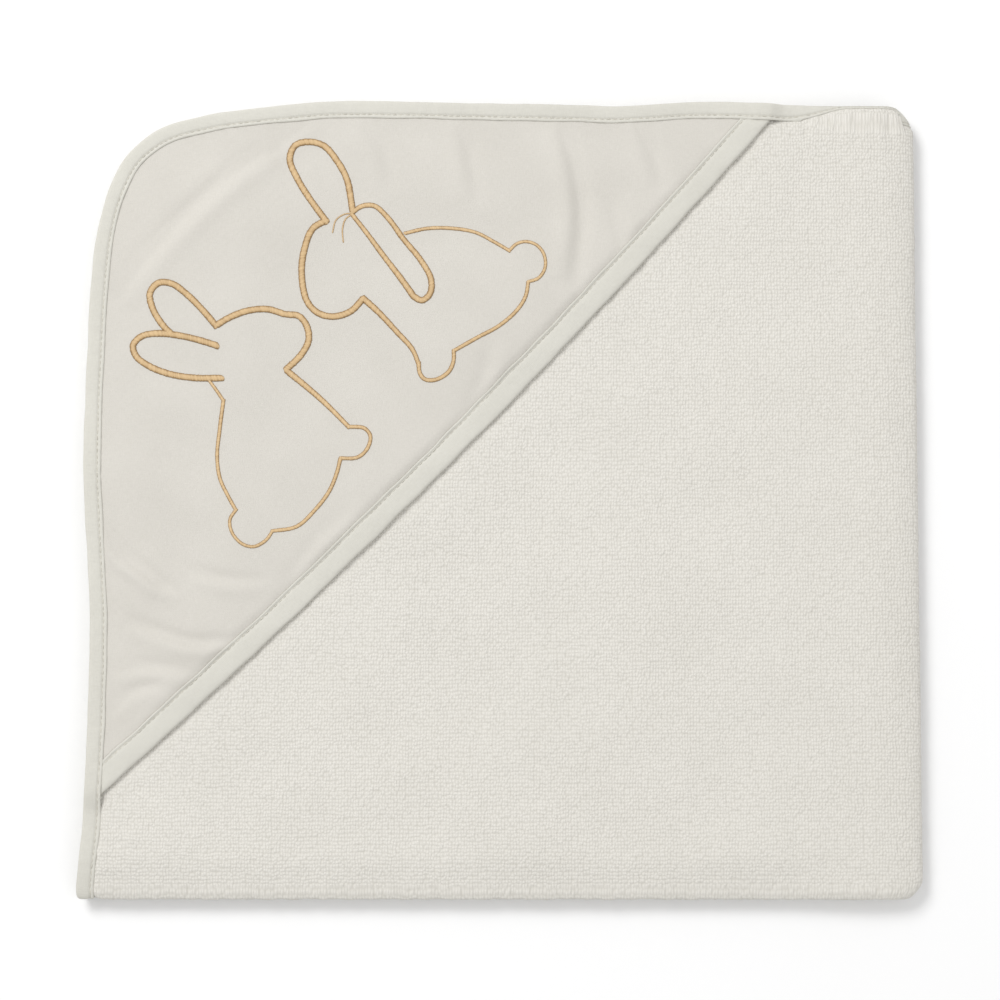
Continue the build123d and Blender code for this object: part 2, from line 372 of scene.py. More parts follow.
# ---------------------------------------------------------------- finishes
class Shader:
    """A small builder for node materials."""

    def __init__(self, name: str) -> None:
        """Starts a material with a Principled shader."""
        self.material = bpy.data.materials.new(name)
        self.material.use_nodes = True
        self.tree = self.material.node_tree
        self.surface = self.tree.nodes["Principled BSDF"]

    def node(self, kind: str, **settings: object) -> bpy.types.Node:
        """A new node with its properties set."""
        made = self.tree.nodes.new(kind)
        for key, value in settings.items():
            setattr(made, key, value)
        return made

    def link(self, source: bpy.types.NodeSocket, target: bpy.types.NodeSocket) -> None:
        """Joins two sockets."""
        self.tree.links.new(source, target)

    def cloth(self, scale: tuple[float, float, float], turn: float = 0.0) -> bpy.types.NodeSocket:
        """The cloth's own coordinates, scaled and turned in the cloth's plane."""
        read = self.node("ShaderNodeAttribute", attribute_name="cloth")
        place = self.node("ShaderNodeMapping")
        place.inputs["Scale"].default_value = scale
        place.inputs["Rotation"].default_value = (0, 0, turn)
        self.link(read.outputs["Vector"], place.inputs["Vector"])
        return place.outputs["Vector"]

    def noise(self, where: bpy.types.NodeSocket, scale: float, detail: float = 2.0,
              rough: float = 0.5) -> bpy.types.NodeSocket:
        """A noise value over the given coordinates.

        Args:
            where: the coordinates.
            scale: how fine the noise is.
            detail, rough: how much finer noise is laid over it.

        Returns:
            The noise's value socket.
        """
        made = self.node("ShaderNodeTexNoise")
        made.inputs["Scale"].default_value = scale
        made.inputs["Detail"].default_value = detail
        made.inputs["Roughness"].default_value = rough
        self.link(where, made.inputs["Vector"])
        return made.outputs["Fac"]

    def maths(self, kind: str, a: object, b: object = 0.0, c: object = 0.0) -> bpy.types.NodeSocket:
        """One sum of sockets or plain numbers.

        Args:
            kind: the operation.
            a, b, c: what it works on, in order.

        Returns:
            The result's socket.
        """
        made = self.node("ShaderNodeMath", operation=kind)
        for socket, value in zip(made.inputs, (a, b, c)):
            if isinstance(value, bpy.types.NodeSocket):
                self.link(value, socket)
            else:
                socket.default_value = value
        return made.outputs[0]

    def ramp(self, value: bpy.types.NodeSocket,
             stops: list[tuple[float, tuple[float, float, float]]]) -> bpy.types.NodeSocket:
        """A colour from a value, through the given stops.

        Args:
            value: the value's socket.
            stops: each stop's place and colour.

        Returns:
            The colour's socket.
        """
        made = self.node("ShaderNodeValToRGB")
        band = made.color_ramp
        while len(band.elements) < len(stops):
            band.elements.new(0.5)
        for element, (place, colour) in zip(band.elements, stops):
            element.position = place
            element.color = (*colour, 1)
        self.link(value, made.inputs["Fac"])
        return made.outputs["Color"]

    def bump(self, height: bpy.types.NodeSocket, distance: float, strength: float,
             under: bpy.types.NodeSocket | None = None) -> bpy.types.NodeSocket:
        """A bumped normal, on top of another one if it is given.

        Args:
            height: the socket of the height.
            distance, strength: how far and how strongly it stands out.
            under: the normal that this one is laid over.

        Returns:
            The normal's socket.
        """
        made = self.node("ShaderNodeBump")
        made.inputs["Distance"].default_value = distance
        made.inputs["Strength"].default_value = strength
        self.link(height, made.inputs["Height"])
        if under is not None:
            self.link(under, made.inputs["Normal"])
        return made.outputs["Normal"]


@dataclass(frozen=True)
class TerryFinish:
    """Looped cotton terry: columns of small loops that lean here and there, darker where the pile
    sinks: painted shade between the loops.
    """

    # The ramp runs from shade, the painted shade between the loops, to light, the loop tops.
    light: tuple[float, float, float] = (0.795, 0.77, 0.715)
    shade: tuple[float, float, float] = (0.62, 0.595, 0.535)
    column: float = 1.3
    row: float = 1.7
    lean: float = 0.45
    loop_height: float = 0.0007

    def make(self) -> bpy.types.Material:
        """The terry material."""
        s = Shader("cotton_terry")
        flat = s.cloth((1, 1, 1))
        wander = s.node("ShaderNodeTexNoise")
        wander.inputs["Scale"].default_value = 0.11
        wander.inputs["Detail"].default_value = 3.0
        s.link(flat, wander.inputs["Vector"])
        centred = s.node("ShaderNodeVectorMath", operation="SUBTRACT")
        centred.inputs[1].default_value = (0.5, 0.5, 0.5)
        s.link(wander.outputs["Color"], centred.inputs[0])
        leant = s.node("ShaderNodeVectorMath", operation="MULTIPLY_ADD")
        leant.inputs[1].default_value = (self.lean * 4, self.lean * 4, 0)
        s.link(centred.outputs[0], leant.inputs[0])
        s.link(flat, leant.inputs[2])
        cells = s.node("ShaderNodeMapping")
        cells.inputs["Scale"].default_value = (1 / self.column, 1 / self.row, 1)
        s.link(leant.outputs[0], cells.inputs["Vector"])
        loops = s.node("ShaderNodeTexVoronoi", feature="F1", voronoi_dimensions="2D")
        loops.inputs["Scale"].default_value = 1.0
        loops.inputs["Randomness"].default_value = 0.42
        s.link(cells.outputs["Vector"], loops.inputs["Vector"])
        dome = s.maths("SUBTRACT", 1.0, loops.outputs["Distance"])
        patch = s.noise(flat, 0.35, 3.0, 0.6)
        broad = s.noise(flat, 0.03, 2.0)
        fuzz = s.noise(flat, 3.0, 4.0, 0.7)
        height = s.maths("MULTIPLY_ADD", patch, 0.5, dome)
        height = s.maths("MULTIPLY_ADD", fuzz, 0.35, height)
        # The colour follows the loops' height and darkens where they sink: painted shade. The broad
        # noise adds random tone.
        tone_and_painted_shade = s.maths("MULTIPLY_ADD", broad, 0.14, s.maths("MULTIPLY", height, 0.58))
        s.link(s.ramp(tone_and_painted_shade, [(0.35, self.shade), (0.85, self.light)]),
               s.surface.inputs["Base Color"])
        s.surface.inputs["Roughness"].default_value = 0.95
        s.surface.inputs["Specular IOR Level"].default_value = 0.15
        s.surface.inputs["Sheen Weight"].default_value = 0.18
        s.surface.inputs["Sheen Roughness"].default_value = 0.6
        s.link(s.bump(height, self.loop_height, 0.75), s.surface.inputs["Normal"])
        return s.material


@dataclass(frozen=True)
class WovenFinish:
    """Plain weave cotton, with slubs in both yarns and a little painted shade between the yarn
    crossings.
    """

    name: str
    light: tuple[float, float, float]
    shade: tuple[float, float, float]
    yarn: float = 0.38
    turn: float = 0.0
    weave_height: float = 0.00006

    def make(self) -> bpy.types.Material:
        """The woven material."""
        s = Shader(self.name)
        flat = s.cloth((1, 1, 1), self.turn)
        split = s.node("ShaderNodeSeparateXYZ")
        s.link(flat, split.inputs[0])
        turns = 2 * math.pi / (2 * self.yarn)
        warp = s.maths("SINE", s.maths("MULTIPLY", split.outputs[0], turns))
        weft = s.maths("SINE", s.maths("MULTIPLY", split.outputs[1], turns))
        weave = s.maths("MULTIPLY", warp, weft)
        slub_x = s.noise(s.cloth((0.35, 2.4, 1), self.turn), 1.0, 3.0, 0.6)
        slub_y = s.noise(s.cloth((2.4, 0.35, 1), self.turn), 1.0, 3.0, 0.6)
        broad = s.noise(flat, 0.035, 2.0)
        slubs = s.maths("ADD", slub_x, slub_y)
        tone_and_painted_shade = s.maths("MULTIPLY_ADD", slubs, 0.35, s.maths("MULTIPLY", broad, 0.3))
        # The weave term lightens the yarn crossings and darkens the cloth between them: painted shade.
        # The slubs and broad noise are random tone.
        tone_and_painted_shade = s.maths("MULTIPLY_ADD", weave, 0.05, tone_and_painted_shade)
        s.link(s.ramp(tone_and_painted_shade, [(0.3, self.shade), (0.75, self.light)]),
               s.surface.inputs["Base Color"])
        s.surface.inputs["Roughness"].default_value = 0.86
        s.surface.inputs["Specular IOR Level"].default_value = 0.25
        s.surface.inputs["Sheen Weight"].default_value = 0.08
        s.surface.inputs["Sheen Roughness"].default_value = 0.5
        soft = s.bump(slubs, 0.0002, 0.5)
        s.link(s.bump(weave, self.weave_height, 0.6, soft), s.surface.inputs["Normal"])
        return s.material


@dataclass(frozen=True)
class SeamFinish:
    """Two-ply spun sewing thread, with painted shade in the grooves of its twist."""

    colour: tuple[float, float, float] = (0.80, 0.775, 0.70)
    shade: tuple[float, float, float] = (0.66, 0.63, 0.55)

    def make(self) -> bpy.types.Material:
        """The sewing thread material."""
        s = Shader("seam_cotton")
        twist = s.node("ShaderNodeTexWave", bands_direction="DIAGONAL")
        twist.inputs["Scale"].default_value = 0.9
        s.link(s.cloth((1, 1, 1)), twist.inputs["Vector"])
        # The twist's grooves get the shade colour: painted shade between the plies, following the
        # twist bump.
        s.link(s.ramp(twist.outputs["Fac"], [(0.0, self.shade), (0.8, self.colour)]),
               s.surface.inputs["Base Color"])
        s.surface.inputs["Roughness"].default_value = 0.7
        s.link(s.bump(twist.outputs["Fac"], 0.0001, 0.6), s.surface.inputs["Normal"])
        return s.material


@dataclass(frozen=True)
class SatinFinish:
    """Golden embroidery thread: bright along the middle and darker towards the edges where it dives, a
    darkening that is painted shade.
    """

    bright: tuple[float, float, float] = (0.72, 0.52, 0.285)
    # bright is the middle of each stroke; deep is mostly the painted shade at its edges.
    deep: tuple[float, float, float] = (0.34, 0.205, 0.085)

    def make(self) -> bpy.types.Material:
        """The embroidery thread material."""
        s = Shader("golden_satin_thread")
        across = s.node("ShaderNodeAttribute", attribute_name="across")
        # Painted shade: the thread darkens towards both edges of each stroke, where it dives into the
        # cloth.
        edge = s.maths("ABSOLUTE", across.outputs["Fac"])
        edge = s.maths("POWER", edge, 1.9)
        streak = s.noise(s.cloth((6.0, 0.5, 1)), 1.0, 3.0, 0.6)
        split = s.node("ShaderNodeSeparateXYZ")
        s.link(s.cloth((1, 1, 1)), split.inputs[0])
        worn = s.noise(s.cloth((0.55, 0.1, 0)), 1.0, 2.0)
        tone_and_painted_shade = s.maths("MULTIPLY_ADD", streak, 0.30, edge)
        tone_and_painted_shade = s.maths("MULTIPLY_ADD", split.outputs[2], 0.38, tone_and_painted_shade)
        tone_and_painted_shade = s.maths("MULTIPLY_ADD", worn, 0.30, tone_and_painted_shade)
        middle = tuple(0.62 * b + 0.38 * d for b, d in zip(self.bright, self.deep))
        s.link(s.ramp(tone_and_painted_shade, [(0.1, self.bright), (0.65, middle), (1.1 / 1.2, self.deep)]),
               s.surface.inputs["Base Color"])
        s.surface.inputs["Roughness"].default_value = 0.42
        s.surface.inputs["Specular IOR Level"].default_value = 0.45
        s.surface.inputs["Sheen Weight"].default_value = 0.1
        fine = s.noise(s.cloth((9.0, 0.8, 1)), 1.0, 2.0)
        s.link(s.bump(fine, 0.00008, 0.5), s.surface.inputs["Normal"])
        return s.material


@dataclass(frozen=True)
class StabiliserFinish:
    """Thin pressed felt of white fibres."""

    def make(self) -> bpy.types.Material:
        """The stabiliser material."""
        s = Shader("pressed_fibres")
        fibres = s.noise(s.cloth((1, 1, 1)), 2.0, 6.0, 0.8)
        s.link(s.ramp(fibres, [(0.3, (0.74, 0.74, 0.72)), (0.7, (0.86, 0.86, 0.85))]),
               s.surface.inputs["Base Color"])
        s.surface.inputs["Roughness"].default_value = 0.9
        s.link(s.bump(fibres, 0.0001, 0.5), s.surface.inputs["Normal"])
        return s.material


@dataclass
class Finishes:
    """Every material of the towel, made once."""

    terry: bpy.types.Material = field(default_factory=lambda: TerryFinish().make())
    hood: bpy.types.Material = field(default_factory=lambda: WovenFinish(
        "hood_plain_weave", (0.700, 0.673, 0.620), (0.600, 0.575, 0.523)).make())
    binding: bpy.types.Material = field(default_factory=lambda: WovenFinish(
        "bias_cut_tape", (0.705, 0.690, 0.630), (0.605, 0.590, 0.530), 0.42, math.pi / 4).make())
    seam: bpy.types.Material = field(default_factory=lambda: SeamFinish().make())
    gold: bpy.types.Material = field(default_factory=lambda: SatinFinish().make())
    stabiliser: bpy.types.Material = field(default_factory=lambda: StabiliserFinish().make())


# ---------------------------------------------------------------- the folded cloth
@dataclass
class FoldedSheet:
    """Where every point of the flat cloth lies once the towel is folded in quarters.

    The cloth's own coordinates are q, which runs from the open left edge to the right-hand
    fold and on round it to the under side, and v, which is 0 at the start of the bottom fold
    on the outer level, grows towards the open top edge, and is negative round the bottom fold
    and on the inner level. rho is the height within the cloth, outwards from the bottom fold's
    middle plane.
    """

    half_width: float
    half_length: float
    nose_start: float = 162.0
    nose_out: float = 23.7
    nose_high: float = 3.4
    nose_spread: float = 1.065
    side_axis: float = 6.5
    gap: float = 0.1
    thick: float = 3.0
    press: float = 1.94
    bottom_run: float = 9.0
    top_corner: float = 13.0
    bottom_corner: float = 10.0
    slope_in: float = 20.0
    slope_share: float = 0.2
    roll_radius: float = 5.0
    roll_run: float = 7.0
    nose_angles: np.ndarray = field(init=False)
    nose_runs: np.ndarray = field(init=False)
    nose_run: float = field(init=False)
    nose_end: float = field(init=False)
    bottom_start: float = field(init=False)

    def __post_init__(self) -> None:
        """Measures the right-hand fold's profile, so that cloth is laid round it evenly."""
        angle = np.linspace(0, math.pi, 400)
        middle = self.thick / 2 + self.gap
        x = (self.nose_out + self.nose_spread * middle) * np.sin(angle)
        z = (self.nose_high + middle) * np.cos(angle)
        run = np.concatenate([[0], np.cumsum(np.hypot(np.diff(x), np.diff(z)))])
        self.nose_angles = angle
        self.nose_runs = run
        self.nose_run = float(run[-1])
        self.nose_end = self.nose_start + self.nose_run
        self.bottom_start = -self.half_length + self.press * (self.thick + self.gap)

    def settle(self, x: np.ndarray, y: np.ndarray, z: np.ndarray) -> np.ndarray:
        """Rounds the folded corners and lets the stack swell and sink a little.

        Args:
            x, y, z: places in the folded towel, in millimetres.

        Returns:
            The same places as rows.
        """
        x, y, z = (np.array(a, float) for a in np.broadcast_arrays(x, y, z))
        share = self.rolled(x) * smooth((z - 9.8) / 0.5)
        start = self.half_length - 1.6 - self.roll_radius
        over = np.maximum(y + self.roll_run * share - start, 0)
        turn = np.minimum(over / self.roll_radius, math.pi / 2)
        rolled_y = start + self.roll_radius * np.sin(turn)
        y = y + (rolled_y - y) * share * (over > 0)
        z = z - (z - 9.9) * 0.72 * (1 - np.cos(turn)) * share
        for radius, sign in ((self.top_corner, 1.0), (self.bottom_corner, -1.0)):
            top = self.half_length - (2.1 if sign > 0 else 0.0)
            dx = np.clip((x - (self.half_width - radius)) / radius, 0, 1.05)
            dy = np.clip((y * sign - (top - radius)) / radius, 0, 1.05)
            u = dx * np.sqrt(1 - dy * dy / 2)
            w = dy * np.sqrt(1 - dx * dx / 2)
            x = x - (dx - u) * radius
            y = y - (dy - w) * radius * sign
        low = smooth((-self.half_length + self.slope_in - y) / self.slope_in)
        calm = 1 - smooth((x - 120) / 40)
        swell = 0.85 * lumps(x, y, 55.0, 3) + 0.3 * lumps(x, y, 24.0, 5)
        edge = smooth((self.half_length - np.abs(y)) / 30) * smooth((x + self.half_width) / 30)
        factor = (1 - self.slope_share * low * calm) * (1 + swell * calm * (0.25 + 0.75 * edge) / 13.0)
        return np.stack([x, y, z * factor], axis=-1)

    def round_length(self, level: int) -> float:
        """How long the cloth's middle is round the right-hand fold, outside (1) or inside (-1)."""
        n = level * (self.gap + self.thick / 2)
        x = (self.nose_out + self.nose_spread * n) * np.sin(self.nose_angles)
        z = (self.nose_high + n) * np.cos(self.nose_angles)
        return float(np.hypot(np.diff(x), np.diff(z)).sum())

    def rolled(self, x: np.ndarray) -> np.ndarray:
        """How far the top edge rolls over at each width, from 0 to 1."""
        return smooth((x - 122.0) / 38.0)

    def place(self, q: np.ndarray, v: np.ndarray, rho: np.ndarray) -> np.ndarray:
        """Where cloth points lie.

        Args:
            q, v: the cloth's flat coordinates.
            rho: the height within the cloth, from gap to gap + thick.

        Returns:
            The places as rows, in millimetres.
        """
        q, v, rho = (np.array(a, float) for a in np.broadcast_arrays(q, v, rho))
        turn = np.clip(-v / self.bottom_run, 0, 1) * math.pi
        beyond = np.where(v >= 0, v, np.maximum(-v - self.bottom_run, 0))
        y = self.bottom_start + beyond - self.press * rho * np.sin(turn)
        n = rho * np.cos(turn)
        angle = np.interp(q - self.nose_start, self.nose_runs, self.nose_angles)
        x = self.nose_start + (self.nose_out + self.nose_spread * n) * np.sin(angle)
        x = np.where(q < self.nose_start, q, x)
        x = np.where(q > self.nose_end, self.nose_start - (q - self.nose_end), x)
        z = self.side_axis + (self.nose_high + n) * np.cos(angle)
        return self.settle(x, y, z)


@dataclass
class BoundEdge:
    """The outline of one layer's two open sides, from the bottom fold to the right-hand fold."""

    sheet: FoldedSheet
    left_step: float
    top_step: float
    step: float = 1.4

    def outline(self) -> Line:
        """The outline in plan, with the cloth on its right."""
        w = self.sheet.half_width
        h = self.sheet.half_length
        points = [
            (-w, self.sheet.bottom_start),
            (-w + 2.6, -148.0),
            (-w + 4.6, -100.0),
            (-w + 5.0, -56.0),
            (-w + 2.7, -14.0),
            (-w + 1.4, 14.0),
            (-w + 2.5, 70.0),
            (-w + 4.4, 106.0),
            (-w + 7.4, 126.0),
            (-w + 12.0, 141.5),
            (-w + 18.6, 154.3),
            (-w + 28.4, 163.9),
            (-w + 39.4, 169.8),
            (-w + 59.0, 174.7),
            (-w + 83.0, 177.8),
            (-w + 110.0, h - 0.2),
            (-w + 140.0, h),
            (-17.6, h - 0.7),
            (28.0, h - 1.6),
            (54.0, h - 2.2),
            (91.0, h - 0.2),
            (128.0, h - 1.2),
            (self.sheet.nose_start, h - 1.6),
        ]
        moved = []
        for x, y in points:
            rise = float(smooth(np.array((y - 60.0) / 100.0)))
            back = self.top_step * (1 + 3.2 * float(self.sheet.rolled(np.array(x))))
            moved.append((x + self.left_step * (1 - smooth(np.array((x + 120.0) / 60.0))),
                          y - back * rise))
        return Line(spline_through(moved, self.step))

    def top_at_fold(self) -> float:
        """How high the top edge is where the right-hand fold begins."""
        return float(self.outline().points[-1, 1])


@dataclass
class HoodShape:
    """The hood's plan and the height of its face."""

    sheet: FoldedSheet
    edge: Line
    under: float = 13.6
    thick: float = 0.6
    ends: tuple[tuple[float, float], ...] = ((-176.8, -132.6), (-25.0, 11.8), (123.0, 171.4))
    centre: np.ndarray = field(init=False)
    radius: float = field(init=False)
    known: np.ndarray = field(init=False)

    def __post_init__(self) -> None:
        """Finds the circle that the hood's long edge follows."""
        (ax, ay), (bx, by), (cx, cy) = self.ends
        d = 2 * (ax * (by - cy) + bx * (cy - ay) + cx * (ay - by))
        a2, b2, c2 = ax * ax + ay * ay, bx * bx + by * by, cx * cx + cy * cy
        ux = (a2 * (by - cy) + b2 * (cy - ay) + c2 * (ay - by)) / d
        uy = (a2 * (cx - bx) + b2 * (ax - cx) + c2 * (bx - ax)) / d
        self.centre = np.array([ux, uy])
        self.radius = float(np.hypot(ax - ux, ay - uy))
        w, h = self.sheet.half_width, self.sheet.half_length
        x, y = np.meshgrid(np.arange(-w - 2, w + 3), np.arange(-h - 2, h + 3), indexing="ij")
        self.known = self.measure(x, y)

    def within(self, x: np.ndarray, y: np.ndarray) -> np.ndarray:
        """How far inside the hood's long edge places are."""
        return self.radius - np.hypot(x - self.centre[0], y - self.centre[1])

    def long_edge(self, step: float = 1.4) -> Line:
        """The hood's long edge from its top end to its left end, with the hood on its right."""
        first = math.atan2(self.ends[2][1] - self.centre[1], self.ends[2][0] - self.centre[0])
        last = math.atan2(self.ends[0][1] - self.centre[1], self.ends[0][0] - self.centre[0])
        reach = 9.0 / self.radius
        turn = np.sign(last - first)
        count = int(self.radius * abs(last - first) / step)
        angle = np.linspace(first - turn * reach, last + turn * reach, count)
        points = self.centre + self.radius * np.stack([np.cos(angle), np.sin(angle)], 1)
        return Line(points)

    def lift(self, x: np.ndarray, y: np.ndarray) -> np.ndarray:
        """How far the hood's face stands up at any place, read from the measured grid."""
        rows, cols = self.known.shape
        i = np.clip(x + self.sheet.half_width + 2, 0, rows - 1.001)
        j = np.clip(y + self.sheet.half_length + 2, 0, cols - 1.001)
        a, b = i.astype(int), j.astype(int)
        f, g = i - a, j - b
        low = self.known[a, b] * (1 - f) + self.known[a + 1, b] * f
        high = self.known[a, b + 1] * (1 - f) + self.known[a + 1, b + 1] * f
        return low * (1 - g) + high * g

    def measure(self, x: np.ndarray, y: np.ndarray) -> np.ndarray:
        """How far the hood's face stands above its lowest lie: its billow and its wrinkles."""
        inset, _ = self.edge.distance(x, y)
        mouth = self.within(x, y)
        rise = 0.9 * smooth((inset - 8.0) / 26.0)
        gape = 0.9 * np.exp(-((mouth - 34.0) / 40.0) ** 2) * smooth((inset - 12.0) / 70.0)
        total = rise + gape + 0.28 * lumps(x, y, 26.0, 21) * smooth((inset - 6.0) / 14.0)
        for crease in HOOD_CREASES:
            total = total + crease.height(x, y)
        held = smooth((inset - 6.5) / 5.0) * smooth((mouth - 9.0) / 5.0)
        return np.maximum(total, -0.1) * held

    def top(self, x: np.ndarray, y: np.ndarray) -> np.ndarray:
        """The height of the hood's face, before the stack settles."""
        return self.under + self.thick + self.lift(x, y)


@dataclass(frozen=True)
class Crease:
    """One soft wrinkle: a valley with a low ridge on its right."""

    points: tuple[tuple[float, float], ...]
    depth: float
    width: float
    ridge: float = 0.7

    def height(self, x: np.ndarray, y: np.ndarray) -> np.ndarray:
        """The wrinkle's height at the given places."""
        line = Line(spline_through(list(self.points), 2.0))
        side, run = line.distance(x, y)
        share = np.clip(run / line.length, 0, 1)
        fade = np.sqrt(np.clip(np.sin(math.pi * (0.04 + 0.92 * share)), 0, 1))
        valley = -np.exp(-((side / self.width) ** 2))
        crest = self.ridge * np.exp(-(((side - 1.7 * self.width) / (1.2 * self.width)) ** 2))
        past = np.hypot(x - line.points[0, 0], y - line.points[0, 1])
        other = np.hypot(x - line.points[-1, 0], y - line.points[-1, 1])
        near = np.minimum(past, other)
        ends = np.where((share <= 0) | (share >= 1), np.exp(-((near / (2 * self.width)) ** 2)), 1.0)
        return CREASE_DEPTH * self.depth * (valley + crest) * fade * ends


CREASE_DEPTH = 1.9
HOOD_CREASES = (
    Crease(((-174.0, 92.0), (-152.0, 119.0), (-125.0, 145.0), (-90.0, 171.0)), 0.75, 4.2),
    Crease(((-178.0, -12.0), (-171.0, -24.0), (-163.0, -30.5), (-151.0, -41.0)), 0.8, 2.8),
    Crease(((-170.0, -27.0), (-160.0, -33.0), (-147.0, -43.0)), 0.55, 2.6),
    Crease(((-165.0, -56.0), (-152.0, -61.0), (-139.0, -65.0), (-116.0, -65.0)), 0.75, 3.0),
    Crease(((-138.0, -33.0), (-124.0, -37.0), (-107.0, -38.0)), 0.55, 2.8),
    Crease(((30.0, 168.0), (34.5, 150.0), (37.3, 130.0), (34.0, 97.0)), 0.95, 4.0),
    Crease(((64.0, 172.0), (69.0, 158.0), (74.0, 142.0)), 0.5, 3.6),
    Crease(((-16.0, 170.0), (-13.0, 152.0), (-10.0, 135.0)), 0.45, 3.6),
    Crease(((-120.0, 171.0), (-104.0, 160.0), (-93.0, 146.0)), 0.3, 4.0),
    Crease(((-172.0, -78.0), (-156.0, -76.0), (-138.0, -79.0)), 0.5, 3.0),
    Crease(((-174.0, -96.0), (-165.0, -88.0), (-152.0, -84.0)), 0.45, 2.8),
    Crease(((-60.0, 170.0), (-52.0, 156.0), (-49.0, 140.0)), 0.35, 3.6),
    Crease(((-20.0, 30.0), (-8.0, 52.0), (-4.0, 70.0)), 0.4, 4.0),
    Crease(((52.0, 100.0), (55.0, 116.0), (50.0, 134.0)), 0.45, 3.8),
    Crease(((-98.0, -44.0), (-84.0, -22.0), (-70.0, -8.0)), 0.4, 4.0),
)


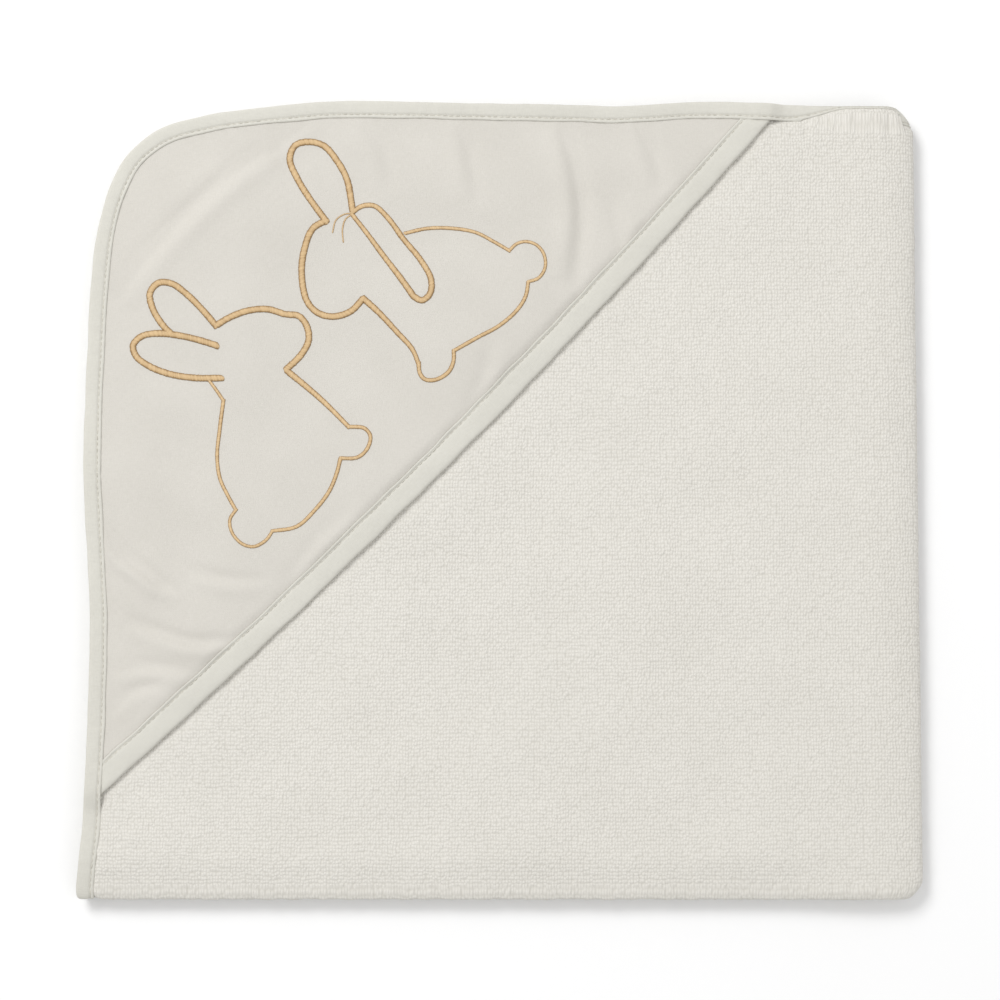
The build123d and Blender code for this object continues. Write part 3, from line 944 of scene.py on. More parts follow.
@dataclass
class TerryCloth:
    """The towel's one cloth, in six pieces that part where it folds."""

    sheet: FoldedSheet
    edges: dict[str, BoundEdge]
    hood: HoodShape
    fine: float = 1.5
    coarse: float = 3.0
    tongue: float = 1.4
    bind: float = 8.0

    def surface(self, q: np.ndarray, v: np.ndarray, inset: np.ndarray, side: int,
                detail: bool) -> np.ndarray:
        """One face of the cloth.

        Args:
            q, v: flat coordinates.
            inset: the distance from the bound edge.
            side: 1 for the outward face and -1 for the inward one.
            detail: whether the face shows, and gets its lumps and puckers.

        Returns:
            The places as rows.
        """
        full = smooth((inset - self.bind + 0.6) / 2.6)
        half = (self.tongue + (self.sheet.thick - self.tongue) * full) / 2
        middle = self.sheet.gap + self.sheet.thick / 2
        rho = middle + side * half
        if detail and side > 0:
            rho = rho + full * (0.13 * lumps(q, v, 5.0, 31) + 0.06 * lumps(q, v, 2.1, 32, 14))
            rho = rho + self.puckers(q, v, inset) * full
        return self.sheet.place(q, v, rho)

    def puckers(self, q: np.ndarray, v: np.ndarray, inset: np.ndarray) -> np.ndarray:
        """Small gathers in the loops beside the bound edge and beside the hood's mouth."""
        y = self.sheet.bottom_start + v
        mouth = -self.hood.within(q, y)
        along = (q + y) / math.sqrt(2)
        beat = along + 2.5 * lumps(along, along * 0, 30.0, 41)
        ripple = np.sin(2 * math.pi * beat / 8.5) * (0.6 + 0.4 * lumps(along, along * 0, 40.0, 42))
        near_mouth = np.exp(-np.clip(mouth, 0, None) / 6.0) * (mouth > -4)
        side_beat = y + 2.0 * lumps(y, y * 0, 25.0, 43)
        side = np.sin(2 * math.pi * side_beat / 7.0) * smooth((-120.0 - y) / 30.0)
        top = np.sin(2 * math.pi * q / 7.5 + 1.0) * smooth((q - 110.0) / 30.0)
        near_edge = np.exp(-np.clip(inset - 9.0, 0, None) / 7.0)
        dip = -0.45 * np.exp(-((mouth - 1.0) / 2.2) ** 2)
        return 0.26 * ripple * near_mouth + 0.22 * (side + top) * near_edge + dip

    def piece(self, name: str, q: np.ndarray, v: np.ndarray, edge: BoundEdge, finish: Finishes,
              detail: bool) -> bpy.types.Object:
        """A closed stretch of the cloth over a grid of flat coordinates.

        Args:
            name: the piece's name.
            q, v: the grid's two sets of coordinates.
            edge: the bound edge of this layer.
            finish: the materials.
            detail: whether the outward face gets its lumps and puckers.

        Returns:
            The piece.
        """
        q, v = guarded(q), guarded(v)
        grid_q, grid_v = np.meshgrid(q, v, indexing="ij")
        inset = self.inset(grid_q, grid_v, edge)
        used, faces, crisp = slab_faces(inset > CUT_INSET)
        flat_q, flat_v, flat_in = (a.ravel()[used] for a in (grid_q, grid_v, inset))
        outward = self.surface(flat_q, flat_v, flat_in, 1, detail)
        inward = self.surface(flat_q, flat_v, flat_in, -1, False)
        cloth = np.stack([flat_q, flat_v, flat_q * 0], 1)
        under = cloth + np.array([317.0, 211.0, 0.0])
        made = make_piece(name, np.concatenate([outward, inward]), faces, finish.terry,
                          np.concatenate([cloth, under]), crisp=crisp)
        keep = inset > CUT_INSET
        cells = keep[:-1, :-1] & keep[1:, :-1] & keep[:-1, 1:] & keep[1:, 1:]
        area = float((np.diff(q)[:, None] * np.diff(v)[None] * cells).sum()) * MM * MM
        wide = float(flat_q.max() - flat_q.min()) * MM
        deep = float(flat_v.max() - flat_v.min()) * MM
        made["flat"] = (wide, deep, area)
        return made

    def inset(self, q: np.ndarray, v: np.ndarray, edge: BoundEdge) -> np.ndarray:
        """How far cloth points are from the bound edge of their layer."""
        sheet = self.sheet
        beyond = np.where(v >= 0, v, np.maximum(-v - sheet.bottom_run, 0))
        y = sheet.bottom_start + beyond
        x = np.where(q > sheet.nose_end, sheet.nose_start - (q - sheet.nose_end), q)
        line = edge.outline()
        far, _ = line.distance(np.minimum(x, sheet.nose_start - 0.01), y)
        in_nose = (q >= sheet.nose_start) & (q <= sheet.nose_end)
        return np.where(in_nose, edge.top_at_fold() - y, far)

    def build(self, finish: Finishes) -> list[bpy.types.Object]:
        """All six pieces; the second, third and bottom layers ride on their bodies."""
        s = self.sheet
        turn = -np.linspace(0, s.bottom_run, 13)[::-1]
        tall = 2 * s.half_length
        fine_v = np.concatenate([turn, np.arange(self.fine, tall, self.fine)])
        plain_v = np.concatenate([turn, np.arange(self.coarse, tall, self.coarse)])
        inner_v = -s.bottom_run - np.arange(0, tall, self.coarse)[::-1]
        fine_q = s.nose_start - np.arange(0, 2 * s.half_width, self.fine)[::-1]
        plain_q = s.nose_start - np.arange(0, 2 * s.half_width, self.coarse)[::-1]
        nose_q = np.linspace(s.nose_start, s.nose_end, 45)
        under_q = s.nose_end + np.arange(0, 2 * s.half_width, self.coarse)
        e = self.edges
        top = self.piece("top_layer_cloth", fine_q, fine_v, e["top"], finish, True)
        second = self.piece("second_layer_cloth", plain_q, inner_v, e["second"], finish, False)
        third = self.piece("third_layer_cloth", under_q, inner_v, e["third"], finish, False)
        bottom = self.piece("bottom_layer_cloth", under_q, plain_v, e["bottom"], finish, True)
        outer = self.piece("outer_side_fold_cloth", nose_q, fine_v, e["top"], finish, True)
        inner = self.piece("inner_side_fold_cloth", nose_q, inner_v, e["second"], finish, False)
        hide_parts("top_layer_terry", "hood_crease_terry", "hood_corner_terry",
                    "upper_bottom_fold_terry")
        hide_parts("second_layer_terry")
        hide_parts("third_layer_terry")
        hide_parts("bottom_layer_terry", "lower_bottom_fold_terry")
        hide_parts("outer_side_fold_terry", "corner_fold_terry")
        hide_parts("inner_side_fold_terry")
        turn_back(top)
        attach(second, Body.UPPER.value)
        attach(third, Body.LOWER.value)
        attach(bottom, Body.LOWER.value)
        open_out(outer)
        open_out(inner)
        return [top, second, third, bottom, outer, inner]


def turn_back(piece: bpy.types.Object) -> None:
    """Bakes the placement of a piece that lies across the crease, between the towel and its hooded
    corner, into its mesh.
    """
    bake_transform(piece)


def open_out(piece: bpy.types.Object) -> None:
    """Bakes the placement of a piece that lies round the right-hand fold, between the two halves, into
    its mesh.
    """
    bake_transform(piece)


# ---------------------------------------------------------------- tapes and seams
TAPE_SECTION = (
    (8.0, 2.50), (7.85, 2.80), (7.35, 2.93), (6.85, 2.82), (6.5, 2.45), (6.15, 2.42),
    (5.8, 2.78), (5.2, 2.93), (4.0, 2.98), (2.4, 2.95), (1.2, 2.84), (0.5, 2.55),
    (0.12, 2.1), (0.0, 1.6), (0.12, 1.1), (0.5, 0.65), (1.2, 0.36), (2.4, 0.25),
    (4.0, 0.22), (5.2, 0.27), (5.8, 0.42), (6.15, 0.78), (6.5, 0.75), (6.85, 0.38),
    (7.35, 0.27), (7.85, 0.40), (8.0, 0.70), (7.7, 0.95), (4.2, 0.92), (1.5, 1.0),
    (1.1, 1.6), (1.5, 2.2), (4.2, 2.28), (7.7, 2.25),
)
TAPE_MIDDLE = 1.6
TAPE_OUTSIDE = 27


@dataclass
class TapeRun:
    """One stretch of the perimeter binding with its topstitching.

    q and v give the outline in the cloth's flat coordinates, with the cloth on its right.
    """

    sheet: FoldedSheet
    line: Line
    rise: np.ndarray
    cut_long: float = 0.0
    cut_wide: float = 18.0
    stitch_in: float = 6.32
    stitch_long: float = 2.3
    stitch_gap: float = 0.55
    thread: float = 0.2

    def spots(self, s: np.ndarray, inward: np.ndarray, rho: np.ndarray) -> np.ndarray:
        """Places at lengths s, a distance in from the outline and a height in the cloth."""
        place, normal = self.line.at(s)
        flat = place + inward[..., None] * normal
        return self.sheet.place(flat[..., 0], flat[..., 1], rho)

    def tape(self, name: str, finish: Finishes) -> bpy.types.Object:
        """The folded tape itself."""
        section = np.array(TAPE_SECTION)
        run = guarded(self.line.run)
        s = run[:, None] + np.zeros(len(section))
        inward = np.broadcast_to(section[:, 0], s.shape)
        rho = np.broadcast_to(section[:, 1], s.shape)
        share = smooth((rho - 0.9) / 1.4)
        rho = rho + np.interp(run, self.line.run, self.rise)[:, None] * share
        ease = smooth(np.minimum(s, self.line.length - s) / 6.0)
        ripple = 0.10 * lumps(s, inward * 0.6, 3.2, 51) + 0.07 * lumps(s, inward, 1.7, 52)
        wide = 0.22 * lumps(s, s * 0, 14.0, 53)
        inward = inward + ease * wide * smooth((inward - 5.5) / 2.0)
        inward = inward + ease * 0.16 * lumps(s, s * 0, 9.0, 54) * (1 - smooth(inward / 2.5))
        rho = rho + ease * ripple * np.sign(section[:, 1] - TAPE_MIDDLE)
        places = self.spots(s, inward, rho).reshape(-1, 3)
        girth = np.concatenate([[0], np.cumsum(np.hypot(*np.diff(section, axis=0).T))])
        cloth = np.stack([s, np.broadcast_to(girth, s.shape), s * 0], 2).reshape(-1, 3)
        faces, crisp = tape_faces(len(s), len(section), TAPE_OUTSIDE)
        made = make_piece(name, places, faces, finish.binding, cloth, crisp=crisp)
        made["flat"] = (self.cut_wide * MM, (self.cut_long or self.line.length) * MM)
        return made

    def stitches(self, name: str, finish: Finishes) -> bpy.types.Object:
        """The separate stitches on both faces of the tape."""
        pitch = self.stitch_long + self.stitch_gap
        count = max(1, int(self.line.length // pitch))
        draw = np.random.default_rng(SEED)
        start = (np.arange(count) + 0.5) * self.line.length / count - self.stitch_long / 2
        shift = draw.uniform(-0.12, 0.12, count)
        rings = np.linspace(0, 1, 6)
        sides = 7
        round_ = 2 * math.pi * np.arange(sides) / sides
        fat = np.array([0.35, 0.85, 1.0, 1.0, 0.85, 0.35]) * self.thread
        arch = np.array([-0.22, 0.02, 0.10, 0.10, 0.02, -0.22])
        all_places = []
        all_faces = []
        all_cloth = []
        for face, base in ((1, 2.56), (-1, 0.64)):
            s = start[:, None] + self.stitch_long * rings
            lift = np.interp(s, self.line.run, self.rise) * (face > 0)
            inward = self.stitch_in + shift[:, None, None] + fat[None, :, None] * np.cos(round_)
            rho = (base + lift + face * arch)[..., None] + fat[None, :, None] * np.sin(round_)
            inward, rho = np.broadcast_arrays(inward, rho)
            s_all = np.broadcast_to(s[..., None], rho.shape)
            places = self.spots(s_all, inward, rho).reshape(-1, 3)
            one = tube_faces(len(rings), sides)
            step = len(rings) * sides
            faces = (one[None] + step * np.arange(count)[:, None, None]).reshape(-1, 4)
            all_faces.append(faces + len(places) * len(all_places))
            all_places.append(places)
            flat = np.stack([s_all * 3, inward * 3, s_all * 0], -1).reshape(-1, 3)
            all_cloth.append(flat)
        return make_piece(name, np.concatenate(all_places), np.concatenate(all_faces),
                          finish.seam, np.concatenate(all_cloth))


@dataclass
class PerimeterBinding:
    """The tape round the whole cloth, in the stretches that the folds part it into."""

    sheet: FoldedSheet
    edges: dict[str, BoundEdge]
    hood: HoodShape
    hood_rise: float = 2.0
    overlap_rise: float = 0.7

    def layer_line(self, edge: BoundEdge, turn: bool, far: bool, inner: bool) -> Line:
        """A layer's outline in flat cloth coordinates.

        Args:
            edge: the layer's bound edge.
            turn: whether the line also runs round the bottom fold.
            far: whether the layer lies past the right-hand fold.
            inner: whether it is one of the two inner layers.

        Returns:
            The line, with the cloth on its right for the two upper layers.
        """
        points = edge.outline().points.copy()
        points[:, 1] -= self.sheet.bottom_start
        if turn:
            run = self.sheet.bottom_run
            lead = np.linspace(-run, 0, 14)[:-1]
            fold = np.stack([np.full(len(lead), points[0, 0]), lead], 1)
            points = np.concatenate([fold, points])
        if inner:
            points[:, 1] = -points[:, 1] - self.sheet.bottom_run
        if far:
            points[:, 0] = self.sheet.nose_end + (self.sheet.nose_start - points[:, 0])
        if inner != far:
            points = points[::-1]
        return Line(points)

    def rise(self, line: Line) -> np.ndarray:
        """How much higher the tape stands where it also takes in the hood."""
        y = line.points[:, 1] + self.sheet.bottom_start
        depth = self.hood.within(line.points[:, 0], y)
        high = smooth((depth + 1.0) / 7.0)
        cross = np.exp(-(((depth - 7.0) / 6.5) ** 2))
        return (self.hood_rise * high + self.overlap_rise * cross) * (line.points[:, 1] >= 0)

    def nose_line(self, edge: BoundEdge, inner: bool) -> Line:
        """The tape's line round the right-hand fold."""
        q = np.linspace(self.sheet.nose_start, self.sheet.nose_end, 60)
        v = np.full(len(q), edge.top_at_fold() - self.sheet.bottom_start)
        if inner:
            v = -v - self.sheet.bottom_run
            return Line(np.stack([q, v], 1)[::-1])
        return Line(np.stack([q, v], 1))

    def build(self, finish: Finishes) -> list[tuple[bpy.types.Object, ...]]:
        """All stretches of tape, each with its stitches; those of the second, third and bottom layers
        ride on their bodies.
        """
        made = []
        plans = (
            ("top_layer", self.layer_line(self.edges["top"], True, False, False),
             ("top_layer", "hood_crease", "hood_corner", "upper_bottom_fold")),
            ("second_layer", self.layer_line(self.edges["second"], False, False, True),
             ("second_layer",)),
            ("third_layer", self.layer_line(self.edges["third"], False, True, True),
             ("third_layer",)),
            ("bottom_layer", self.layer_line(self.edges["bottom"], True, True, False),
             ("bottom_layer", "lower_bottom_fold")),
            ("outer_side_fold", self.nose_line(self.edges["top"], False), ("outer_side_fold",)),
            ("inner_side_fold", self.nose_line(self.edges["second"], True), ("inner_side_fold",)),
        )
        for name, line, nodes in plans:
            rise = self.rise(line) if name == "top_layer" else np.zeros(len(line.points))
            round_fold = name.endswith("side_fold")
            level = 1 if name.startswith("outer") else -1
            cut = self.sheet.round_length(level) if round_fold else 0.0
            run = TapeRun(self.sheet, line, rise, cut)
            tape = run.tape(f"{name}_tape", finish)
            seam = run.stitches(f"{name}_stitches", finish)
            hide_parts(*[f"{n}_binding" for n in nodes])
            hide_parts(*[f"{n}_topstitch" for n in nodes])
            for piece in (tape, seam):
                if name == "top_layer":
                    turn_back(piece)
                elif name.endswith("side_fold"):
                    open_out(piece)
                else:
                    body = Body.UPPER if name == "second_layer" else Body.LOWER
                    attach(piece, body.value)
            made.append((tape, seam))
        return made


# ---------------------------------------------------------------- the hood
@dataclass
class HoodPanel:
    """The hood's woven face, and the stabiliser left behind its embroidery."""

    sheet: FoldedSheet
    hood: HoodShape
    grid: float = 1.25
    backing: tuple[tuple[float, float], ...] = (
        (-170.0, 46.0), (-169.0, 104.0), (-109.0, 161.0), (-61.0, 167.0), (28.0, 120.0),
        (28.0, 88.0), (-14.0, 47.0), (-54.0, 5.0), (-95.0, -27.0), (-126.0, -27.0),
    )

    def plate(self, name: str, inside: np.ndarray, x: np.ndarray, y: np.ndarray, low: float,
              high: float, material: bpy.types.Material) -> bpy.types.Object:
        """A thin sheet that follows the hood's face.

        Args:
            name: the piece's name.
            inside: which grid points belong to it.
            x, y: the grid.
            low, high: its two faces, up from the hood's top face.
            material: its finish.

        Returns:
            The piece.
        """
        used, faces, crisp = slab_faces(inside)
        flat_x, flat_y = x.ravel()[used], y.ravel()[used]
        top = self.hood.top(flat_x, flat_y)
        upper = self.sheet.settle(flat_x, flat_y, top + high)
        lower = self.sheet.settle(flat_x, flat_y, top + low)
        cloth = np.stack([flat_x, flat_y, flat_x * 0], 1)
        made = make_piece(name, np.concatenate([upper, lower]), faces, material,
                          np.concatenate([cloth, cloth + 57.0]), crisp=crisp)
        wide = float(flat_x.max() - flat_x.min()) * MM
        deep = float(flat_y.max() - flat_y.min()) * MM
        cells = len(faces[(faces < len(used)).all(1)])
        made["flat"] = (wide, deep, min(cells * (self.grid * MM) ** 2, wide * deep))
        return made

    def build(self, finish: Finishes) -> list[bpy.types.Object]:
        """The face panel and the stabiliser, riding on the hooded corner."""
        w, h = self.sheet.half_width, self.sheet.half_length
        x, y = np.meshgrid(np.arange(-w, w, self.grid), np.arange(-h, h, self.grid),
                           indexing="ij")
        inset, _ = self.hood.edge.distance(x, y)
        face = self.plate("hood_face", (inset > 2.4) & (self.hood.within(x, y) > 2.0), x, y,
                          -self.hood.thick, 0.0, finish.hood)
        corners = np.array(self.backing)
        wide = np.ones(x.shape, bool)
        for a, b in zip(corners, np.roll(corners, -1, axis=0)):
            wide &= (b[0] - a[0]) * (y - a[1]) - (b[1] - a[1]) * (x - a[0]) <= 0
        back = self.plate("embroidery_stabiliser", wide, x, y, -self.hood.thick - 0.3,
                          -self.hood.thick - 0.08, finish.stabiliser)
        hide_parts("hood_face_panel")
        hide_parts("embroidery_backing")
        for piece in (face, back):
            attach(piece, Body.HOOD.value)
        return [face, back]


@dataclass
class HoodEdgeTape:
    """The tape along the hood's long edge, with its topstitching."""

    sheet: FoldedSheet
    hood: HoodShape
    wide: float = 11.0
    stitch_in: float = 9.35
    stitch_long: float = 2.3
    stitch_gap: float = 0.55
    thread: float = 0.2
    section: tuple[tuple[float, float], ...] = (
        (11.0, 0.30), (10.85, 0.62), (10.4, 0.76), (9.9, 0.66), (9.55, 0.28), (9.15, 0.26),
        (8.8, 0.62), (8.1, 0.78), (6.4, 0.84), (4.2, 0.86), (2.4, 0.82), (1.1, 0.68),
        (0.35, 0.38), (0.05, 0.0), (0.0, -0.3), (0.1, -0.65), (0.5, -0.95), (1.4, -1.12),
        (4.2, -1.16), (8.0, -1.14), (10.4, -1.1), (10.9, -0.95), (10.6, -0.68), (4.2, -0.66),
        (1.4, -0.62), (1.1, -0.3), (1.4, 0.02), (4.2, 0.04), (10.6, 0.04),
    )
    outside: int = 22
    end_inset: float = 3.6

    def spots(self, line: Line, s: np.ndarray, inward: np.ndarray, up: np.ndarray) -> np.ndarray:
        """Places beside the long edge, at heights over the hood's own face."""
        place, normal = line.at(s)
        flat = place + inward[..., None] * normal
        x, y = flat[..., 0], flat[..., 1]
        inset, _ = self.hood.edge.distance(x, y)
        pinch = 0.42 + 0.58 * smooth((inset - 5.5) / 5.0)
        return self.sheet.settle(x, y, self.hood.top(x, y) + up * pinch)

    def reach(self, line: Line, inward: np.ndarray) -> tuple[np.ndarray, np.ndarray]:
        """Where lines beside the long edge start and end, so that they stay on the towel.

        Args:
            line: the long edge.
            inward: how far in from it each line runs.

        Returns:
            The lengths along the long edge at which each line starts and ends.
        """
        first, last = [], []
        for offset in inward:
            flat = line.points + offset * line.inward
            inset, _ = self.hood.edge.distance(flat[:, 0], flat[:, 1])
            on = line.run[inset > self.end_inset]
            first.append(on[0])
            last.append(on[-1])
        return np.array(first), np.array(last)

    def build(self, finish: Finishes) -> list[bpy.types.Object]:
        """The tape and its stitches, riding on the hooded corner."""
        line = self.hood.long_edge()
        section = np.array(self.section)
        first, last = self.reach(line, section[:, 0])
        share = np.linspace(0, 1, len(line.points))[:, None]
        s = first + (last - first) * share
        inward = np.broadcast_to(section[:, 0], s.shape)
        up = np.broadcast_to(section[:, 1], s.shape)
        inward = inward + 0.28 * lumps(s, s * 0, 13.0, 61) * smooth((inward - 6.0) / 4.0)
        inward = inward + 0.22 * lumps(s, s * 0, 8.0, 62) * (1 - smooth(inward / 4.0))
        crinkle = 0.12 * lumps(s, inward * 0.5, 3.4, 63) + 0.09 * lumps(s, inward, 1.9, 64)
        up = up + crinkle * (up > 0.1)
        places = self.spots(line, s, inward, up).reshape(-1, 3)
        girth = np.concatenate([[0], np.cumsum(np.hypot(*np.diff(section, axis=0).T))])
        cloth = np.stack([s, np.broadcast_to(girth, s.shape), s * 0], 2).reshape(-1, 3)
        faces, crisp = tape_faces(len(s), len(section), self.outside)
        tape = make_piece("hood_edge_tape", places, faces, finish.binding, cloth,
                          crisp=crisp)
        tape["flat"] = (2 * 11.6 * MM, float((last - first).mean()) * MM)
        seam = self.stitches(line, finish)
        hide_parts("hood_edge_binding")
        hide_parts("hood_edge_topstitch")
        for piece in (tape, seam):
            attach(piece, Body.HOOD.value)
        return [tape, seam]

    def stitches(self, line: Line, finish: Finishes) -> bpy.types.Object:
        """The separate stitches that show on the hood's long edge."""
        first, last = self.reach(line, np.array([self.stitch_in]))
        pitch = self.stitch_long + self.stitch_gap
        count = int((last[0] - first[0] - 6.0) // pitch)
        rings = np.linspace(0, 1, 6)
        sides = 7
        round_ = 2 * math.pi * np.arange(sides) / sides
        fat = np.array([0.35, 0.85, 1.0, 1.0, 0.85, 0.35]) * self.thread
        arch = np.array([-0.20, 0.04, 0.12, 0.12, 0.04, -0.20]) + 0.36
        s = first[0] + 3.0 + pitch * np.arange(count)[:, None] + self.stitch_long * rings
        inward = self.stitch_in + fat[None, :, None] * np.cos(round_)
        up = arch[None, :, None] + fat[None, :, None] * np.sin(round_)
        s_all, inward, up = np.broadcast_arrays(s[..., None], inward, up)
        places = self.spots(line, s_all, inward, up).reshape(-1, 3)
        one = tube_faces(len(rings), sides)
        step = len(rings) * sides
        faces = (one[None] + step * np.arange(count)[:, None, None]).reshape(-1, 4)
        cloth = np.stack([s_all * 3, inward * 3, s_all * 0], -1).reshape(-1, 3)
        return make_piece("hood_edge_stitches", places, faces, finish.seam, cloth)


@dataclass(frozen=True)
class Stroke:
    """One line of satin stitch: its widths at both ends and the points that it passes."""

    wide: tuple[float, float]
    points: tuple[tuple[float, float], ...]


@dataclass
class SatinMotif:
    """A rabbit's outline in satin stitch, thread by thread."""

    name: str
    strokes: tuple[Stroke, ...]
    sheet: FoldedSheet
    hood: HoodShape
    pitch: float = 0.5
    high: float = 0.72
    slant: float = 0.35
    across: int = 9
    rings: int = 4

    def stretched(self, stroke: Stroke) -> list[tuple[float, float]]:
        """The stroke's points, with both ends run on a little so that strokes overlap."""
        knots = np.array(stroke.points)
        first = knots[0] - knots[1]
        last = knots[-1] - knots[-2]
        knots[0] += first / np.linalg.norm(first) * 0.38 * stroke.wide[0]
        knots[-1] += last / np.linalg.norm(last) * 0.38 * stroke.wide[1]
        return [tuple(knot) for knot in knots]

    def ribbon(self, stroke: Stroke, number: int) -> tuple[np.ndarray, np.ndarray, np.ndarray,
                                                           np.ndarray]:
        """One stroke: a domed ribbon whose ridges are its threads.

        Args:
            stroke: the stroke.
            number: which one, to seed its unevenness.

        Returns:
            The places, faces, cloth coordinates and places across the stroke.
        """
        line = Line(spline_through(self.stretched(stroke), self.pitch / self.rings))
        draw = np.random.default_rng(SEED + number)
        s = line.run
        share = s / line.length
        wide = stroke.wide[0] + (stroke.wide[1] - stroke.wide[0]) * share
        tip = np.sqrt(np.clip(np.minimum(s, line.length - s) / (0.3 * wide), 0.12, 1))
        thread = np.floor(s / self.pitch).astype(int)
        jitter = draw.normal(0, 0.035, thread.max() + 2)[thread]
        bright = draw.uniform(-0.5, 0.5, thread.max() + 2)[thread]
        half = wide / 2 * (1 + jitter) * tip
        ridge = np.abs(np.sin(math.pi * s / self.pitch))
        u = np.linspace(-1, 1, self.across)
        lean = u[None] * self.slant * half[:, None]
        place, normal = line.at(np.clip(s[:, None] + lean, 0, line.length))
        flat = place + (u[None] * half[:, None])[..., None] * normal
        x, y = flat[..., 0], flat[..., 1]
        dome = np.sqrt(np.clip(1 - (0.96 * u) ** 2, 0, 1))
        body = self.high * (0.55 + 0.45 * np.minimum(wide / 3.0, 1.0))
        up = dome[None] * (body * (0.70 + 0.30 * ridge) * np.minimum(tip, 1))[:, None]
        top = self.sheet.settle(x, y, self.hood.top(x, y) + up - 0.02)
        low = self.sheet.settle(x[:, ::-1], y[:, ::-1], self.hood.top(x, y)[:, ::-1] - 0.25)
        ring = np.concatenate([top, low[:, 1:-1]], axis=1)
        faces = tube_faces(len(s), ring.shape[1])
        mark = np.concatenate([u, u[::-1][1:-1]])
        mark = np.broadcast_to(mark, ring.shape[:2])
        run = np.broadcast_to((s + 37.0 * number)[:, None], ring.shape[:2])
        cloth = np.stack([run, mark * half[:, None], np.broadcast_to(bright[:, None], run.shape)],
                         -1)
        return ring.reshape(-1, 3), faces, cloth.reshape(-1, 3), mark.reshape(-1)

    def build(self, finish: Finishes) -> bpy.types.Object:
        """The whole motif, riding on the hooded corner."""
        places, faces, cloths, marks = [], [], [], []
        count = 0
        for number, stroke in enumerate(self.strokes):
            place, face, cloth, mark = self.ribbon(stroke, number)
            faces.append(face + count)
            count += len(place)
            places.append(place)
            cloths.append(cloth)
            marks.append(mark)
        # The across values let the thread material paint shade towards each stroke's edges.
        made = make_piece(self.name, np.concatenate(places), np.concatenate(faces), finish.gold,
                          np.concatenate(cloths),
                          {"across": np.concatenate(marks)})
        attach(made, Body.HOOD.value)
        return made


RIGHT_RABBIT = (
    Stroke((3.0, 3.0), ((-78.6, 124.6), (-85.4, 133.8), (-91.5, 143.5), (-95.5, 153.5),
                        (-93.0, 159.8), (-86.5, 161.4), (-80.0, 159.5), (-74.0, 152.5),
                        (-69.5, 144.0), (-66.9, 130.0))),
    Stroke((2.2, 3.0), ((-67.0, 128.8), (-62.5, 131.7), (-57.0, 131.8), (-51.0, 126.5),
                        (-43.5, 116.3), (-36.0, 107.0), (-31.2, 98.0), (-31.6, 91.5),
                        (-35.2, 88.4), (-39.5, 90.6))),
    Stroke((3.0, 2.0), ((-39.2, 90.4), (-44.5, 98.0), (-53.0, 109.3), (-60.5, 119.5),
                        (-66.8, 127.6))),
    Stroke((3.0, 3.0), ((-78.6, 125.2), (-84.8, 121.4), (-88.6, 112.0), (-89.8, 101.0),
                        (-87.4, 88.5), (-82.5, 83.0), (-75.5, 81.2), (-67.5, 83.6),
                        (-61.8, 89.6))),
    Stroke((3.0, 2.0), ((-61.8, 89.4), (-55.0, 83.2), (-46.5, 74.0), (-39.5, 66.0),
                        (-36.6, 59.0))),
    Stroke((2.0, 1.8), ((-36.7, 60.0), (-36.0, 55.0), (-33.6, 52.4), (-28.6, 52.4),
                        (-23.2, 55.8), (-21.0, 60.5), (-20.9, 65.6))),
    Stroke((1.8, 1.7), ((-20.9, 65.2), (-10.0, 71.4), (-0.5, 76.6), (7.5, 83.6), (11.5, 90.0),
                        (12.8, 97.0))),
    Stroke((1.5, 1.5), ((12.8, 96.8), (17.5, 98.6), (20.4, 103.4), (19.8, 109.6), (16.4, 113.8),
                        (11.8, 115.3), (7.6, 114.3), (4.2, 111.1))),
    Stroke((1.6, 1.7), ((4.4, 111.0), (-2.5, 115.1), (-11.0, 119.5), (-21.5, 121.4),
                        (-33.0, 121.4), (-43.0, 119.2))),
    Stroke((0.7, 0.6), ((-66.9, 128.4), (-70.8, 127.9), (-74.4, 125.2), (-75.9, 119.6))),
    Stroke((0.7, 0.6), ((-67.1, 128.0), (-70.0, 125.8), (-71.4, 121.0), (-71.0, 115.2))),
)
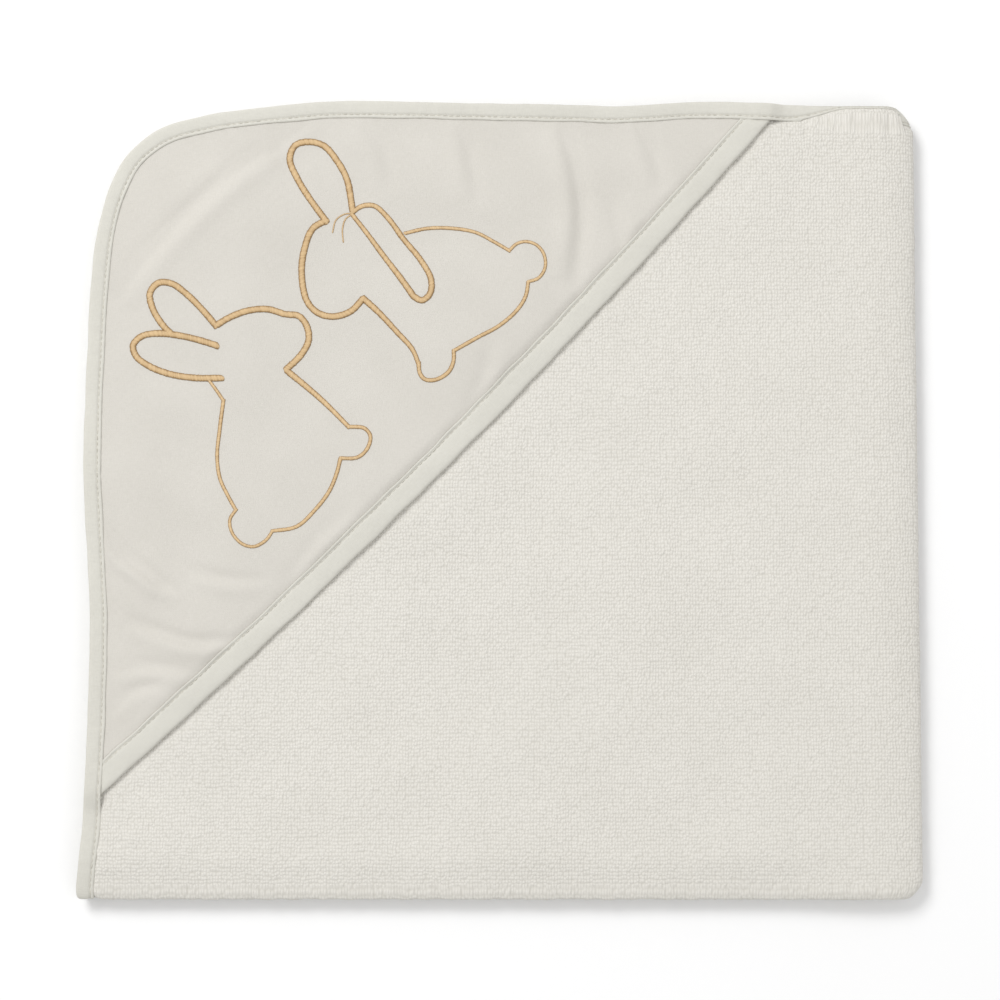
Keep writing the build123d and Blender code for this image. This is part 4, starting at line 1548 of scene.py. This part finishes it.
LEFT_RABBIT = (
    Stroke((3.0, 3.0), ((-128.2, 76.8), (-134.0, 83.6), (-141.0, 90.7), (-148.5, 96.1),
                        (-154.5, 96.4), (-158.3, 91.8), (-157.0, 84.8), (-152.5, 77.4),
                        (-148.6, 73.4))),
    Stroke((3.0, 3.0), ((-127.6, 67.7), (-135.0, 70.1), (-145.0, 72.5), (-155.0, 73.5),
                        (-162.0, 72.2), (-165.7, 68.2), (-164.4, 63.3), (-158.5, 58.7),
                        (-149.0, 55.0), (-137.5, 53.2), (-125.4, 53.1))),
    Stroke((3.0, 3.0), ((-128.2, 76.8), (-122.5, 80.3), (-114.0, 83.6), (-105.0, 84.4),
                        (-97.0, 82.2), (-91.0, 81.4), (-87.4, 77.0), (-86.4, 70.5),
                        (-89.8, 63.6), (-96.2, 57.2))),
    Stroke((3.0, 2.0), ((-96.4, 56.6), (-88.0, 49.8), (-79.0, 41.9), (-68.0, 30.8))),
    Stroke((1.8, 1.7), ((-68.4, 30.9), (-61.0, 30.2), (-58.3, 26.6), (-59.7, 20.9),
                        (-64.0, 17.0), (-71.6, 16.6))),
    Stroke((1.8, 1.7), ((-71.6, 16.8), (-73.4, 9.6), (-76.8, 1.6), (-83.0, -6.5),
                        (-91.2, -14.0), (-102.2, -16.1))),
    Stroke((1.5, 1.5), ((-102.0, -15.9), (-105.0, -20.2), (-110.4, -23.1), (-115.7, -21.8),
                        (-120.2, -16.8), (-121.2, -11.0), (-118.4, -6.4))),
    Stroke((1.6, 1.8), ((-118.6, -6.6), (-122.0, -0.6), (-126.0, 8.0), (-127.3, 18.0),
                        (-126.2, 30.0), (-124.6, 43.0))),
    Stroke((1.6, 1.4), ((-124.6, 42.8), (-127.8, 47.5), (-131.6, 52.6))),
)


# ---------------------------------------------------------------- the studio
@dataclass
class Studio:
    """A pale floor, soft light and the camera that looks down on the towel."""

    distance: float = 1.25
    elevation: float = 85.0
    lens: float = 100.0
    aim: tuple[float, float, float] = (0.0, -0.0019, 0.013)

    def floor(self) -> None:
        """A wide plain floor just under the towel."""
        mesh = bpy.data.meshes.new("studio_floor")
        mesh.from_pydata([(-6, -6, 0), (6, -6, 0), (6, 6, 0), (-6, 6, 0)], [], [(0, 1, 2, 3)])
        floor = bpy.data.objects.new("studio_floor", mesh)
        floor.location.z = -0.0006
        bpy.context.scene.collection.objects.link(floor)
        s = Shader("pale_paper")
        s.surface.inputs["Base Color"].default_value = (0.93, 0.93, 0.93, 1)
        s.surface.inputs["Roughness"].default_value = 0.9
        s.surface.inputs["Specular IOR Level"].default_value = 0.1
        mesh.materials.append(s.material)
        floor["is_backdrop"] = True

    def lamp(self, name: str, place: tuple[float, float, float], size: float,
             power: float) -> None:
        """A square soft lamp that points at the towel."""
        data = bpy.data.lights.new(name, "AREA")
        data.shape = "SQUARE"
        data.size = size
        data.energy = power
        lamp = bpy.data.objects.new(name, data)
        lamp.location = place
        lamp.rotation_euler = (-Vector(place)).to_track_quat("-Z", "Y").to_euler()
        bpy.context.scene.collection.objects.link(lamp)

    def build(self) -> None:
        """Everything round the towel that isn't part of it."""
        self.floor()
        self.lamp("key_lamp", (-1.1, 1.2, 1.9), 1.0, 34.0)
        self.lamp("fill_lamp", (0.9, -0.5, 2.2), 2.2, 9.0)
        world = bpy.data.worlds.new("studio_world")
        world.use_nodes = True
        shade = world.node_tree.nodes["Background"]
        shade.inputs["Color"].default_value = (1.0, 1.0, 1.0, 1)
        shade.inputs["Strength"].default_value = 0.62
        bpy.context.scene.world = world
        angle = math.radians(self.elevation)
        back = Vector((0, -math.cos(angle), math.sin(angle)))
        data = bpy.data.cameras.new("view_from_above")
        data.lens = self.lens
        data.sensor_width = 36.0
        camera = bpy.data.objects.new("view_from_above", data)
        camera.location = Vector(self.aim) + back * self.distance
        camera.rotation_euler = (-back).to_track_quat("-Z", "Y").to_euler()
        bpy.context.scene.collection.objects.link(camera)
        bpy.context.scene.camera = camera
        bpy.context.scene.view_settings.view_transform = "Standard"


def main() -> None:
    """Builds the towel and its studio, and reports each piece."""
    low, high = CAD_BOX
    half_width = (high.x - low.x) / 2 / MM
    half_length = (high.y - low.y) / 2 / MM
    finish = Finishes()
    sheet = FoldedSheet(half_width, half_length)
    edges = {
        "top": BoundEdge(sheet, 0.0, 0.0),
        "second": BoundEdge(sheet, 0.0, 2.0),
        "third": BoundEdge(sheet, 1.5, 2.0),
        "bottom": BoundEdge(sheet, 1.5, 0.0),
    }
    hood = HoodShape(sheet, edges["top"].outline())
    cloths = TerryCloth(sheet, edges, hood).build(finish)
    tapes = PerimeterBinding(sheet, edges, hood).build(finish)
    face = HoodPanel(sheet, hood).build(finish)
    edge = HoodEdgeTape(sheet, hood).build(finish)
    for name, strokes in (("right_rabbit", RIGHT_RABBIT), ("left_rabbit", LEFT_RABBIT)):
        motif = SatinMotif(f"{name}_satin", strokes, sheet, hood).build(finish)
        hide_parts(f"{name}_embroidery")
    Studio().build()
    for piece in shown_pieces():
        log.info("%s: %d faces", piece.name, len(piece.data.polygons))


if __name__ == "__main__":
    main()
